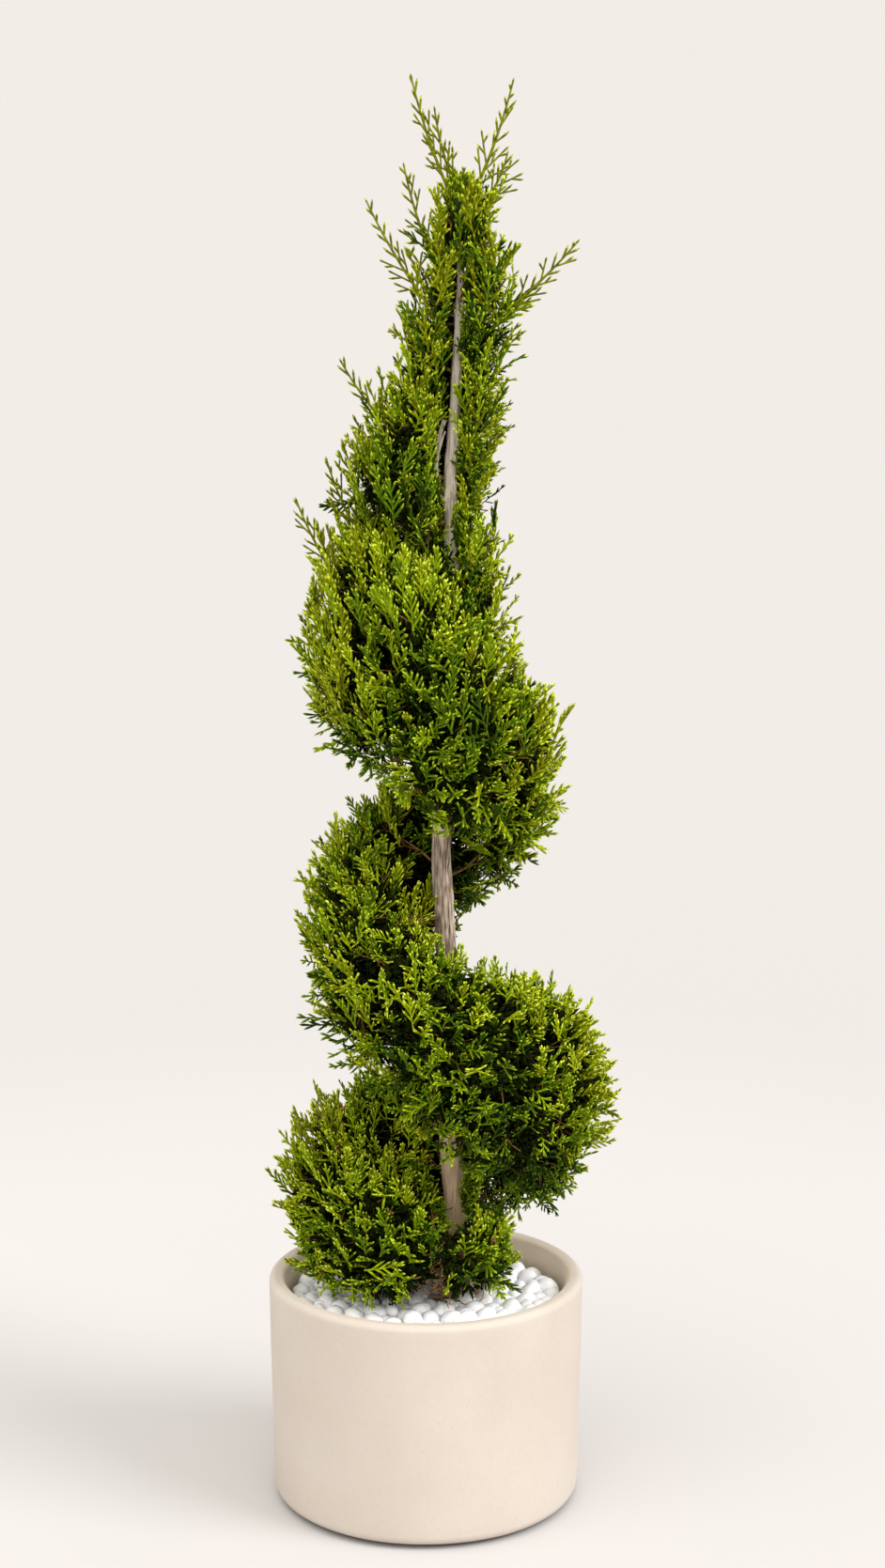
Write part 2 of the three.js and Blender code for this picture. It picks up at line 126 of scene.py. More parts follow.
def setStops(ramp, stops):
    while len(ramp.elements) < len(stops):
        ramp.elements.new(1)
    for element, (position, colour) in zip(ramp.elements, stops):
        element.position = position
        element.color = (*colour, 1)


def linear(red, green, blue):  # a display colour of 0 to 255 as the light values that shaders take
    def one(value):
        value /= 255
        return value / 12.92 if value < 0.04045 else ((value + 0.055) / 1.055) ** 2.4
    return (one(red), one(green), one(blue))


def newMaterial(name, **constants):
    made = bpy.data.materials.new(name)
    made.use_nodes = True
    shader = made.node_tree.nodes["Principled BSDF"]
    coat(made.node_tree, shader, **constants)
    return made, Nodes(made.node_tree), shader


def coat(tree, shader, **inputs):  # sets or plugs a shader's inputs, each named with _ for a space
    for name, value in inputs.items():
        plug(tree, shader.inputs[name.replace("_", " ")], value)


def coordinates(paint, scale=(1, 1, 1)):
    here = paint.add("ShaderNodeTexCoord", output="Object")
    return paint.add("ShaderNodeMapping", values={"Vector": here, "Scale": scale})


def heightAt(paint):
    return paint.add("ShaderNodeSeparateXYZ", values={"Vector": coordinates(paint)}, output=2)


def awayFrom(paint, scale=(1, 1, 1)):  # from the origin, or from the z axis where z is scaled by 0
    place = coordinates(paint, scale)
    return paint.add("ShaderNodeVectorMath", {"operation": "LENGTH"}, {0: place}, output=1)


def noiseOf(paint, scale, detail, stretch=(1, 1, 1)):
    return paint.add("ShaderNodeTexNoise", values={
        "Vector": coordinates(paint, stretch), "Scale": scale, "Detail": detail,
    })


def mixed(paint, share, first, second):  # from the first colour to the second
    first, second = (c if isinstance(c, Wire) else (*c, 1) for c in (first, second))
    return paint.add("ShaderNodeMix", {"data_type": "RGBA"}, {"Factor": share, 6: first, 7: second}, output=2)


def ramp(paint, share, *stops):  # a colour that runs through the stops
    return paint.add("ShaderNodeValToRGB", {"stops": stops}, {"Fac": share})


def roughen(paint, shader, height, distance, strength=1.0):
    bump = paint.add("ShaderNodeBump", values={"Height": height, "Distance": distance, "Strength": strength})
    coat(paint.tree, shader, Normal=bump)


def newPiece(name, points, faces, material, smooth=True):
    mesh = bpy.data.meshes.new(name)
    mesh.from_pydata([tuple(p) for p in points], [], [tuple(f) for f in faces])
    mesh.validate()
    mesh.polygons.foreach_set("use_smooth", [smooth] * len(mesh.polygons))
    mesh.materials.append(material)
    piece = bpy.data.objects.new(name, mesh)
    bpy.context.scene.collection.objects.link(piece)
    return piece


def finishPiece(piece, slot, *replaced):
    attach(piece, "root")
    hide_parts(*replaced)
    print(piece.name, "made, faces:", len(piece.data.polygons))


def corners(node):  # a CAD node's own corners, each once
    points = np.array([v.co for v in nodes[node].data.vertices])
    return np.unique(np.round(points, 6), axis=0)


def circle(count):  # the ways from the middle of a ring to its points
    turns = [2 * math.pi * i / count for i in range(count)]
    return [(math.cos(turn), math.sin(turn)) for turn in turns]


def joined(rings):
    return [point for ring in rings for point in ring]


def wrap(rings, closed=True, start=0):  # faces between rings of points, with both ends closed
    count = len(rings[0])
    last = (len(rings) - 1) * count
    faces = []
    for low in range(0, last, count):
        for i in range(count):
            j = (i + 1) % count
            faces.append((low + i, low + j, low + count + j, low + count + i))
    if closed:
        faces += [tuple(reversed(range(count))), tuple(range(last, last + count))]
    return [tuple(start + i for i in face) for face in faces]


def unit(vectors):
    length = np.linalg.norm(vectors, axis=-1, keepdims=True)
    return vectors / np.maximum(length, 1e-9)


def named(prefix):
    return sorted(name for name in nodes if name.startswith(prefix))


def socketOf(tree, name):  # the identifier of a named input
    for item in tree.interface.items_tree:
        if item.item_type == "SOCKET" and item.in_out == "INPUT" and item.name == name:
            return item.identifier


def bake(piece, tree, inputs):  # runs a geometry tree on a piece and keeps the plain mesh
    modifier = piece.modifiers.new(tree.name, "NODES")
    modifier.node_group = tree
    for name, value in inputs.items():
        modifier[socketOf(tree, name)] = value
    piece.update_tag()
    bpy.context.view_layer.update()
    graph = bpy.context.evaluated_depsgraph_get()
    done = bpy.data.meshes.new_from_object(piece.evaluated_get(graph), depsgraph=graph)
    piece.modifiers.remove(modifier)
    piece.data = done
    return piece


def newTree(name, inputs):  # a geometry tree with named inputs, each of a kind of socket
    tree = bpy.data.node_groups.new(name, "GeometryNodeTree")
    tree.interface.new_socket("Geometry", in_out="INPUT", socket_type="NodeSocketGeometry")
    for label, kind in inputs.items():
        tree.interface.new_socket(label, in_out="INPUT", socket_type=f"NodeSocket{kind}")
    tree.interface.new_socket("Geometry", in_out="OUTPUT", socket_type="NodeSocketGeometry")
    source = tree.nodes.new("NodeGroupInput")
    sink = tree.nodes.new("NodeGroupOutput")
    given = {socket.name: Wire(tree, socket) for socket in source.outputs if socket.name}
    return tree, Nodes(tree), given, sink


def newCollection(name):
    collection = bpy.data.collections.new(name)
    bpy.context.scene.collection.children.link(collection)
    return collection


def childrenOf(net, collection):  # each shape of a collection on its own, to pick from
    return net.add("GeometryNodeCollectionInfo", values={
        "Collection": collection, "Separate Children": True, "Reset Children": True,
    })


def endTree(net, sink, placed, material):
    real = net.add("GeometryNodeRealizeInstances", values={"Geometry": placed})
    done = net.add("GeometryNodeSetMaterial", values={"Geometry": real, "Material": material})
    plug(net.tree, sink.inputs[0], done)


studio = {
    "cameraPlace": (0.019, -3.0, 1.325),
    "cameraDown": 9.4,  # degrees below level
    "lens": 62.6,
    "floorSize": 60.0,
    # painted light: the floor is lighter near the pot, to lift the shade that the pot and plant cast round
    # them
    "floorColour": linear(205, 203, 203),
    "farColour": linear(194, 193, 192),  # meets the colour behind it at the far edge
    "fade": (0.7, 2.4),  # how far off the one starts to turn into the other, and where it has
    "cloud": (1.4, 0.4),  # scale and strength of its unevenness
    "backColour": linear(242, 237, 231),
    "backStrength": 1.0,
    "lights": {  # where each comes from, its strength, its width in degrees (broad is soft), its colour
        "windowLight": ((0.85, -0.42, 0.72), 2.0, 32, (1.0, 0.985, 0.99)),
        "skyLight": ((-0.35, -0.7, 0.95), 1.5, 75, (1.0, 0.98, 0.935)),
    },
}


def makeStudio():
    scene = bpy.context.scene
    lens = bpy.data.cameras.new("camera")
    lens.lens = studio["lens"]
    camera = bpy.data.objects.new("camera", lens)
    camera.location = studio["cameraPlace"]
    camera.rotation_euler = (math.radians(90 - studio["cameraDown"]), 0, 0)
    scene.collection.objects.link(camera)
    scene.camera = camera

    half = studio["floorSize"] / 2
    corner = [(-half, -half, 0), (half, -half, 0), (half, half, 0), (-half, half, 0)]
    floor = newPiece("floor", corner, [(0, 1, 2, 3)], floorPaint(), smooth=False)

    for name, (place, strength, width, colour) in studio["lights"].items():
        lamp = bpy.data.lights.new(name, "SUN")
        lamp.energy = strength
        lamp.color = colour
        lamp.angle = math.radians(width)
        light = bpy.data.objects.new(name, lamp)
        light.rotation_euler = Vector(place).to_track_quat("Z", "Y").to_euler()
        scene.collection.objects.link(light)

    world = bpy.data.worlds.new("studio")
    world.use_nodes = True
    back = world.node_tree.nodes["Background"]
    back.inputs["Color"].default_value = (*studio["backColour"], 1)
    back.inputs["Strength"].default_value = studio["backStrength"]
    scene.world = world
    scene.view_settings.view_transform = "Standard"
    print("studio made")


def floorPaint():
    made, paint, shader = newMaterial("floorPaint", Roughness=1.0, Specular_IOR_Level=0.0)
    scale, strength = studio["cloud"]
    cloud = noiseOf(paint, scale, 2)
    # painted light near the pot, turning into the far colour further off
    nearLight = mixed(paint, awayFrom(paint).between(*studio["fade"]), studio["floorColour"], studio["farColour"])
    shade = mixed(paint, cloud * strength, nearLight, studio["farColour"])
    coat(paint.tree, shader, Base_Color=shade)
    return made


pot = {
    "wall": 0.019,
    "floor": 0.024,
    "lipRound": 0.008,
    "footRound": 0.012,
    "segments": 160,
    "outerSteps": (0.12, 0.25, 0.4, 0.55, 0.7, 0.85, 0.93),  # heights of its rings, as parts of its own
    "innerSteps": (0.94, 0.9, 0.86, 0.8, 0.6, 0.3),
    "uneven": 0.0005,  # how far the hand-finished wall swells
    "unevenScale": (1.6, 1.6, 14),  # how often, round it and up it
    "footGap": 0.004,  # how far the outer edge stands off the ground
    "footRing": 0.135,  # radius of the part that stands on it
    "footChamfer": 0.004,
    "discs": 0.06,  # radius of the flat discs that close it below and inside
    # painted light: the inside is lighter, to lift the shade that falls in the pot
    "innerColour": linear(252, 234, 210),
    "colour": linear(198, 187, 175),
    "paleColour": linear(207, 198, 187),
    "footColour": linear(82, 60, 40),  # painted shadow: the dark brown band under its edge, where it meets the floor
    "footHeight": (0.005, 0.0065),
    "stainColour": linear(184, 168, 150),
}


def quarter(middleR, middleZ, radius, start, end, steps):  # an arc of a profile between two angles
    turns = [math.radians(start + (end - start) * i / steps) for i in range(steps + 1)]
    return [(middleR + radius * math.cos(t), middleZ + radius * math.sin(t)) for t in turns]


def makePot():
    top, _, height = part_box("pot")[1]
    places = corners("pot")
    reach = np.hypot(places[:, 0], places[:, 1])
    foot = reach[places[:, 2] < pot["footRound"] * 1.01].max()
    lip, footRound, gap, ring = (pot[name] for name in ("lipRound", "footRound", "footGap", "footRing"))
    outer = lambda share: foot + (top - foot) * share
    inner = lambda z: foot + (top - foot) * z / height - pot["wall"]
    profile = (
        [(pot["discs"], 0), (ring, 0), (ring + pot["footChamfer"], gap)]
        + quarter(foot - footRound, footRound + gap, footRound, -90, 0, 6)
        + [(outer(share), share * height) for share in pot["outerSteps"]]
        + quarter(top - lip, height - lip, lip, 0, 90, 7)
        + quarter(inner(height) + lip, height - lip, lip, 90, 180, 7)
        + [(inner(share * height), share * height) for share in pot["innerSteps"]]
        + [(inner(pot["floor"]), pot["floor"]), (pot["discs"], pot["floor"])]
    )
    rings = []
    for radius, z in profile:
        rings.append([])
        for x, y in circle(pot["segments"]):
            spot = Vector([a * b for a, b in zip((x, y, z), pot["unevenScale"])])
            swell = pot["uneven"] * noise.noise(spot)
            rings[-1].append(((radius + swell) * x, (radius + swell) * y, z))
    finishPiece(newPiece("potBody", joined(rings), wrap(rings), potCeramic()), "pot", "pot")


def potCeramic():
    made, paint, shader = newMaterial("potCeramic", IOR=1.45)
    broad = noiseOf(paint, 9, 5)
    fine = noiseOf(paint, 160, 3)
    specks = noiseOf(paint, 420, 1)
    body = ramp(paint, broad * 0.75 + fine * 0.25, (0.3, pot["colour"]), (0.7, pot["paleColour"]))
    colour = mixed(paint, specks.between(0.66, 0.78) * 0.6, body, pot["stainColour"])
    # painted light on the inside of the pot, which lies in shade
    across = awayFrom(paint, (1, 1, 0))
    inside = (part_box("pot")[1][0] - pot["wall"] * 0.5 - across).between(0, 0.008)
    insideLit = mixed(paint, inside * 0.8, colour, pot["innerColour"])
    # painted shadow along the foot, where the pot meets the floor
    footShadowed = mixed(paint, heightAt(paint).between(*pot["footHeight"]), pot["footColour"], insideLit)
    coat(paint.tree, shader, Base_Color=footShadowed, Roughness=0.5 + broad * 0.2)
    roughen(paint, shader, fine * 0.6 + specks * 0.4, 0.0004, 0.35)
    return made


soil = {
    "lump": 0.003,
    "lumpScale": 60,
    "rings": 26,
    "segments": 96,
    "tuck": 0.975,  # its underside is this much narrower than the CAD soil's
    "colour": linear(58, 42, 30),
    "dryColour": linear(104, 84, 64),
}


def makeSoil():
    low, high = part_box("soil")
    below = low[0] * -soil["tuck"]
    shares = [1 - k / soil["rings"] for k in range(soil["rings"])]
    profile = [(below * 0.9, low[2]), (below, low[2])] + [(high[0] * share, high[2]) for share in shares]
    rings = []
    for radius, z in profile:
        uneven = z == high[2] and radius < high[0]
        rings.append([])
        for x, y in circle(soil["segments"]):
            x, y = radius * x, radius * y
            lump = noise.fractal(Vector((x, y, 0)) * soil["lumpScale"], 0.6, 2.2, 4) * soil["lump"]
            rings[-1].append((x, y, z + lump * uneven))
    finishPiece(newPiece("pottingSoil", joined(rings), wrap(rings), pottingSoil()), "soil", "soil")


def pottingSoil():
    made, paint, shader = newMaterial("pottingSoil", Roughness=0.95)
    crumbs = noiseOf(paint, 220, 6)
    colour = ramp(paint, crumbs, (0.4, soil["colour"]), (0.75, soil["dryColour"]))
    coat(paint.tree, shader, Base_Color=colour)
    roughen(paint, shader, crumbs, 0.002)
    return made


pebbles = {
    "shapes": 9,
    "radius": 0.0121,
    "layers": (  # least distance between two, height in the bed, and size
        (0.0165, 0.9, 1.0),
        (0.0188, 1.4, 1.0),
        (0.0125, 0.45, 0.8),
    ),
    "density": 9000.0,  # to a square metre, before those that are too close are dropped
    "smallest": 0.92,
    "largest": 1.16,
    "facets": 8,
    "worn": (0.7, 0.96),  # how far from the middle the facets are
    "sharpness": 9,  # of the edges between them
    "long": (0.95, 1.16),
    "wide": (0.86, 1.02),
    "flatness": 0.84,
    "lift": 0.004,
    "tilt": 0.5,
    "topMargin": 1.2,  # of half a pebble's thickness, kept free under the top of the bed
    "clearOfWall": 0.0118,
    "clearOfTrunk": 0.034,
    "seed": 5,
    "shapeSeed": 100,
    "colour": linear(252, 253, 255),
    "shadeColour": linear(242, 243, 246),
}


def pebbleShape(index, collection):  # a ball with its sides worn to soft facets
    chance = np.random.default_rng(pebbles["shapeSeed"] + index)
    ball = bpy.data.meshes.new(f"pebbleShape{index}")
    shape = bmesh.new()
    bmesh.ops.create_icosphere(shape, subdivisions=2, radius=1)
    shape.to_mesh(ball)
    shape.free()
    points = np.array([v.co for v in ball.vertices])
    planes = unit(chance.normal(size=(pebbles["facets"], 3)))
    depths = chance.uniform(*pebbles["worn"], pebbles["facets"])
    facing = points @ planes.T
    limit = np.where(facing > 0.05, depths / np.maximum(facing, 0.05), 9.0)
    sharp = pebbles["sharpness"]
    reach = -np.log(np.exp(-limit * sharp).sum(1) + math.exp(-sharp * 1.02)) / sharp  # a soft smallest
    points = points * np.minimum(reach, 1.05)[:, None]
    points *= (chance.uniform(*pebbles["long"]), chance.uniform(*pebbles["wide"]), pebbles["flatness"])
    ball.vertices.foreach_set("co", (points * pebbles["radius"]).ravel())
    ball.polygons.foreach_set("use_smooth", [True] * len(ball.polygons))
    collection.objects.link(bpy.data.objects.new(f"pebbleShape{index}", ball))


def pebbleTree():
    tree, net, given, sink = newTree("scatterPebbles", {
        "Shapes": "Collection", "Last Shape": "Int", "Apart": "Float", "Smallest": "Float",
        "Largest": "Float", "Lift": "Float", "Seed": "Int", "Stone": "Material",
    })
    places = net.add("GeometryNodeDistributePointsOnFaces", {"distribute_method": "POISSON"}, {
        "Mesh": given["Geometry"], "Distance Min": given["Apart"], "Density Max": pebbles["density"],
        "Seed": given["Seed"],
    })
    shapes = childrenOf(net, given["Shapes"])
    tilt = pebbles["tilt"]

    def luck(kind, low, high, output):
        return net.add("FunctionNodeRandomValue", {"data_type": kind}, {**low, **high, "Seed": given["Seed"]},
                       output)

    turn = luck("FLOAT_VECTOR", {"Min": (-tilt, -tilt, 0.0)}, {"Max": (tilt, tilt, 2 * math.pi)}, 0)
    size = luck("FLOAT", {2: given["Smallest"]}, {3: given["Largest"]}, 1)
    which = luck("INT", {4: 0}, {5: given["Last Shape"]}, 2)
    rise = luck("FLOAT", {2: 0.0}, {3: given["Lift"]}, 1)
    offset = net.add("ShaderNodeCombineXYZ", values={"Z": rise})
    lifted = net.add("GeometryNodeSetPosition", values={"Geometry": places, "Offset": offset})
    stones = net.add("GeometryNodeInstanceOnPoints", values={
        "Points": lifted, "Instance": shapes, "Pick Instance": True,
        "Instance Index": which, "Rotation": turn, "Scale": size,
    })
    endTree(net, sink, stones, given["Stone"])
    return tree


def bedRing(middle, inner, outer, z, segments=72):  # a flat ring round the trunk, to scatter stones on
    rings = []
    for share in (0, 0.5, 1):
        spots = [(middle + inner * way) * (1 - share) + outer * way * share
                 for way in np.array(circle(segments))]
        rings.append([(*spot, z) for spot in spots])
    return joined(rings), wrap(rings, closed=False)


def makePebbles():
    low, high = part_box("pebble_bed")
    foot = corners("trunk")
    foot = foot[foot[:, 2] < foot[:, 2].min() + 0.001].mean(0)
    collection = newCollection("pebbleShapes")
    for index in range(pebbles["shapes"]):
        pebbleShape(index, collection)
    stone = whiteStone()
    tree = pebbleTree()
    margin = pebbles["radius"] * pebbles["flatness"] * pebbles["topMargin"]
    layers = []
    for layer, (apart, height, size) in enumerate(pebbles["layers"]):
        z = low[2] + (high[2] - low[2] - margin) * height
        outer = high[0] - pebbles["clearOfWall"] * size
        points, faces = bedRing(foot[:2], pebbles["clearOfTrunk"], outer, z)
        bed = newPiece(f"pebbles{layer}", points, faces, stone)
        if bed.data.polygons[0].normal.z < 0:
            bed.data.flip_normals()
        layers.append(bake(bed, tree, {
            "Shapes": collection, "Last Shape": pebbles["shapes"] - 1, "Apart": apart,
            "Smallest": pebbles["smallest"] * size, "Largest": pebbles["largest"] * size,
            "Lift": pebbles["lift"], "Seed": pebbles["seed"] + layer, "Stone": stone,
        }))
    clear(collection)
    for layer in layers:
        finishPiece(layer, "pebbles", "pebble_bed")


def whiteStone():
    made, paint, shader = newMaterial("whiteStone", IOR=1.5)
    veins = noiseOf(paint, 55, 5)
    grit = noiseOf(paint, 500, 2)
    colour = ramp(paint, veins, (0.3, pebbles["shadeColour"]), (0.6, pebbles["colour"]))
    coat(paint.tree, shader, Base_Color=colour, Roughness=0.45 + grit * 0.25)
    roughen(paint, shader, grit, 0.0003, 0.4)
    return made


bark = {
    "ringStep": 0.0035,
    "around": 44,
    "limbAround": 14,
    "smoothing": 8,  # rings on each side that round off a joint of the CAD trunk's line
    "furrow": 0.0010,  # depth of the long furrows
    "furrowScale": (3.2, 26),  # how often, round a limb and along it
    "knot": 0.0048,
    "knotScale": (1.1, 34),
    "knotFrom": 0.25,
    "uneven": 0.07,  # of the radius
    "unevenScale": (1, 12),
    "flareHeight": 0.018,
    "flareLobes": 5,
    "lobe": 0.3,
    "flareSlim": 0.06,  # what the flare gives up between its lobes
    "brownColour": linear(202, 170, 130),  # browner wood near the ground, painted lighter to lift the foliage's shade on the trunk's foot
    "brownTo": 0.55,  # height where that has gone
    "colour": linear(164, 145, 128),
    "paleColour": linear(222, 206, 190),
    "darkColour": linear(88, 70, 54),
    "dryColours": (linear(192, 175, 155), linear(252, 240, 222)),  # bleached wood high up, painted paler still to lift the crown's shade on the upper trunk
    "dryFrom": (0.9, 1.15),  # the heights where it starts and is fully so
    "limbColour": linear(112, 88, 62),
    "limbPale": linear(150, 124, 92),
    "greenColour": linear(104, 104, 60),
}

snag = {
    "around": 18,
    "slim": 0.62,
    "lean": 0.006,  # how far it stands off the trunk at its bend
    "tipShift": (0.0022, 0, 0.006),
    "steps": 34,
    "prong": ((17, (0, 0, 0)), (24, (0.0032, -0.001, 0)), (29, (0.0048, 0, 0))),  # from steps of the snag
    "prongRadii": (0.0014, 0.0009),
}


def trunkLine():  # the CAD trunk's rings: middle and radius at each height
    places = corners("trunk")
    line = []
    for z in np.unique(np.round(places[:, 2], 4)):
        ring = places[np.abs(places[:, 2] - z) < 1e-4]
        if len(ring) < 6:
            continue
        middle = ring.mean(0)
        radius = np.linalg.norm(ring[:, :2] - middle[:2], axis=1).mean()
        line.append((z, middle[0], middle[1], radius))
    return np.array(line)


def trunkAt(line, z):  # the trunk's middle at a height
    return np.array((np.interp(z, line[:, 0], line[:, 1]), np.interp(z, line[:, 0], line[:, 2]), z))


def limbLine(node, start):  # a CAD limb's foot, bend and tip, with its radius at each
    places = corners(node)
    away = np.linalg.norm(places - start, axis=1)
    near, far = np.quantile(away, (0.18, 0.84))
    foot, tip = places[away <= near].mean(0), places[away >= far].mean(0)
    axis = unit(tip - foot)
    along = (places - foot) @ axis / np.linalg.norm(tip - foot)
    middles, radii = [], []
    for part in (away <= near, np.abs(along - 0.5) < 0.16, away >= far):
        ring = places[part]
        spread = ring - ring.mean(0)
        spread -= np.outer(spread @ axis, axis)
        middles.append(ring.mean(0))
        radii.append(np.linalg.norm(spread, axis=1).mean())
    return middles, radii


def bowed(foot, bend, tip, steps):  # points on a smooth bow through three places
    share = np.linspace(0, 1, steps)[:, None]
    pull = 2 * bend - (foot + tip) / 2
    return (1 - share) ** 2 * foot + 2 * share * (1 - share) * pull + share ** 2 * tip, share[:, 0]


def tubeRings(line, radii, around, relief, seed):  # rings of points along a smooth line
    line = np.array(line)
    ahead = unit(np.gradient(line, axis=0))
    side = unit(np.cross(ahead, (0.31, 0.95, 0.02)))
    over = np.cross(ahead, side)
    rings = []
    run = 0.0
    for k, middle in enumerate(line):
        if k:
            run += float(np.linalg.norm(line[k] - line[k - 1]))
        rings.append([])
        for x, y in circle(around):
            on = lambda scale, shift=0: Vector((x * scale[0], y * scale[0], run * scale[1] + seed + shift))
            furrow = bark["furrow"] * noise.fractal(on(bark["furrowScale"]), 0.7, 2.1, 3)
            knot = bark["knot"] * max(0.0, noise.noise(on(bark["knotScale"], 9)) - bark["knotFrom"])
            radius = radii[k] * (1 + bark["uneven"] * noise.noise(on(bark["unevenScale"])))
            radius += relief * (furrow + knot)
            rings[-1].append(tuple(middle + radius * (x * side[k] + y * over[k])))
    return rings


def addTube(mesh, rings):  # adds a closed tube to a mesh of points and faces
    mesh[1].extend(wrap(rings, start=len(mesh[0])))
    mesh[0].extend(joined(rings))


def smoothed(values, reach):  # each value as the mean of those round it
    padded = np.pad(values, reach, "edge")
    return np.convolve(padded, np.ones(2 * reach + 1) / (2 * reach + 1), "valid")


def makeTrunk():
    line = trunkLine()
    bottom, top = line[0, 0], line[-1, 0]
    heights = np.linspace(bottom, top, int((top - bottom) / bark["ringStep"]))
    across = [smoothed(np.interp(heights, line[:, 0], line[:, k]), bark["smoothing"]) for k in (1, 2)]
    middles = np.stack([*across, heights], 1)
    radii = np.interp(heights, line[:, 0], line[:, 3])
    rings = tubeRings(middles, radii, bark["around"], 1.0, 0.0)
    flared = []
    for k, ring in enumerate(rings):  # root flare in lobes at the ground
        share = math.exp(-(heights[k] - bottom) / bark["flareHeight"])
        flared.append([])
        for i, p in enumerate(ring):
            lobe = 0.5 + 0.5 * math.sin(bark["flareLobes"] * 2 * math.pi * i / bark["around"] + 0.8)
            grow = 1 + share * (bark["lobe"] * lobe ** 2 - bark["flareSlim"])
            x, y = middles[k, :2] + (np.array(p[:2]) - middles[k, :2]) * grow
            flared[-1].append((x, y, heights[k]))
    skin = barkMaterial("trunkBark", bark["colour"], bark["paleColour"], 0.9)
    finishPiece(newPiece("trunkBark", joined(flared), wrap(flared), skin), "bark", "trunk")
    return line


def makeBoughs(line):
    mesh = ([], [])
    for index, name in enumerate(named("bough_")):
        root = trunkAt(line, corners(name)[:, 2].min())
        (foot, bend, tip), radii = limbLine(name, root)
        curve, share = bowed(root * 0.7 + foot * 0.3, bend, tip, 24)
        radii = np.interp(share, (0, 0.5, 1), (radii[0] * 1.1, radii[1], radii[2]))
        addTube(mesh, tubeRings(curve, radii, bark["limbAround"], 0.5, 3.0 * index))
    skin = barkMaterial("boughBark", bark["limbColour"], bark["limbPale"], footBrownLight=0.0)
    finishPiece(newPiece("boughs", *mesh, skin), "bark", *named("bough_"))


def makeSnag():  # a dead side stem with a short prong
    places = corners("snag")
    base = places[places[:, 2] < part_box("snag")[0][2] + 0.01].mean(0)
    (foot, bend, tip), radii = limbLine("snag", base)
    curve, share = bowed(foot, bend - (snag["lean"], 0, 0), tip + snag["tipShift"], snag["steps"])
    radii = np.interp(share, (0, 0.5, 1), radii) * snag["slim"]
    prong = bowed(*(curve[step] + shift for step, shift in snag["prong"]), 12)[0]
    mesh = ([], [])
    addTube(mesh, tubeRings(curve, radii, snag["around"], 0.8, 40.0))
    addTube(mesh, tubeRings(prong, np.linspace(*snag["prongRadii"], len(prong)), 8, 0.3, 44.0))
    skin = barkMaterial("snagWood", bark["colour"], bark["paleColour"], 0.45)
    finishPiece(newPiece("snagWood", *mesh, skin), "bark", "snag")


def barkMaterial(name, colour, pale, bleachedLight=0.0, footBrownLight=0.6):
    made, paint, shader = newMaterial(name, IOR=1.4)
    streaks = noiseOf(paint, 420, 5, (1, 1, 0.09))
    patches = noiseOf(paint, 42, 4, (1, 1, 0.35))
    grain = noiseOf(paint, 700, 3)
    stops = ((0.38, bark["darkColour"]), (0.48, colour), (0.6, pale))
    body = ramp(paint, streaks * 0.65 + patches * 0.35, *stops)
    mossy = mixed(paint, patches.between(0.55, 0.75) * 0.35, body, bark["greenColour"])
    height = heightAt(paint)
    # browner near the ground, with painted light that lifts the shade there
    low = (bark["brownTo"] - height + patches * 0.2) * 3.2
    footBrownLit = mixed(paint, low.between(0, 1) * footBrownLight, mossy, bark["brownColour"])
    # paler high up: bleached wood, with painted light that lifts the crown's shade
    bleachedLit = (height + patches * 0.1).between(*bark["dryFrom"]) * bleachedLight
    bare = mixed(paint, (streaks * 0.7 + patches * 0.3).between(0.38, 0.58), *bark["dryColours"])
    coat(paint.tree, shader, Base_Color=mixed(paint, bleachedLit, footBrownLit, bare), Roughness=0.75 + grain * 0.2)
    roughen(paint, shader, streaks * 0.7 + grain * 0.3, 0.0012, 0.7)
    return made


def table(columns, **rows):  # rows of values, each as a dictionary
    return {name: dict(zip(columns.split(), row)) for name, row in rows.items()}


# A spray is a short green stem with blunt fingers. It grows along +Z, lies in the XZ plane and turns
# its upper face to +Y. It has two meshes: its stem with the older part of each finger, and the new tips.

finger = {
    "width": 0.00158,  # half of its width
    "footWidth": 0.85,  # at its foot, as a part of that
    "endWidth": 0.18,
    "thickness": 0.8,
    "tipFrom": 0.75,  # where along it the newer growth starts
    "curl": 0.34,  # how far it bends towards the way its spray grows
    "along": (0.1, 0.82),  # where the first stands on its stem, and how far on the last
    "narrowing": 0.5,  # how much the fingers close up and shorten towards the stem's end
    "forkTurn": 32,  # degrees between a finger and one that it bears
    "forkUpTo": 0.75,
    "forkLength": 0.52,
    "forkWidth": 0.88,
    "endLength": 0.6,  # of the one at the stem's end
    "stemWidth": 0.0012,
    "sway": 0.0035,
}

# For each kind: how many shapes, its length, its longest finger, the angle of the lowest fingers in degrees,
# the gap between two, how far they leave the plane, how many fork, how thick they are, and how much more or
# less than its mass asks a spray points out, and up.
sprayKinds = table(
    "shapes length longest spread gap depth forks slim out up",
    plume=(6, 0.034, 0.0175, 33, 0.0034, 0.15, 0.3, 1.0, 0.5, 1.25),
    fan=(6, 0.025, 0.0165, 46, 0.0034, 0.25, 0.4, 1.0, 0.9, 0.9),
    star=(7, 0.014, 0.0155, 76, 0.0021, 0.6, 0.6, 0.96, 1.3, 0.5),
    sprig=(6, 0.05, 0.0175, 31, 0.005, 0.35, 0.25, 0.95, 0.75, 1.1),
)

shadeTufts = {"shapes": 3, "leaves": 8, "length": 0.026, "width": 0.0054, "roots": 0.004}
thirds = [2 * math.pi * i / 3 - math.pi / 2 for i in range(3)]  # the corners of a finger's section


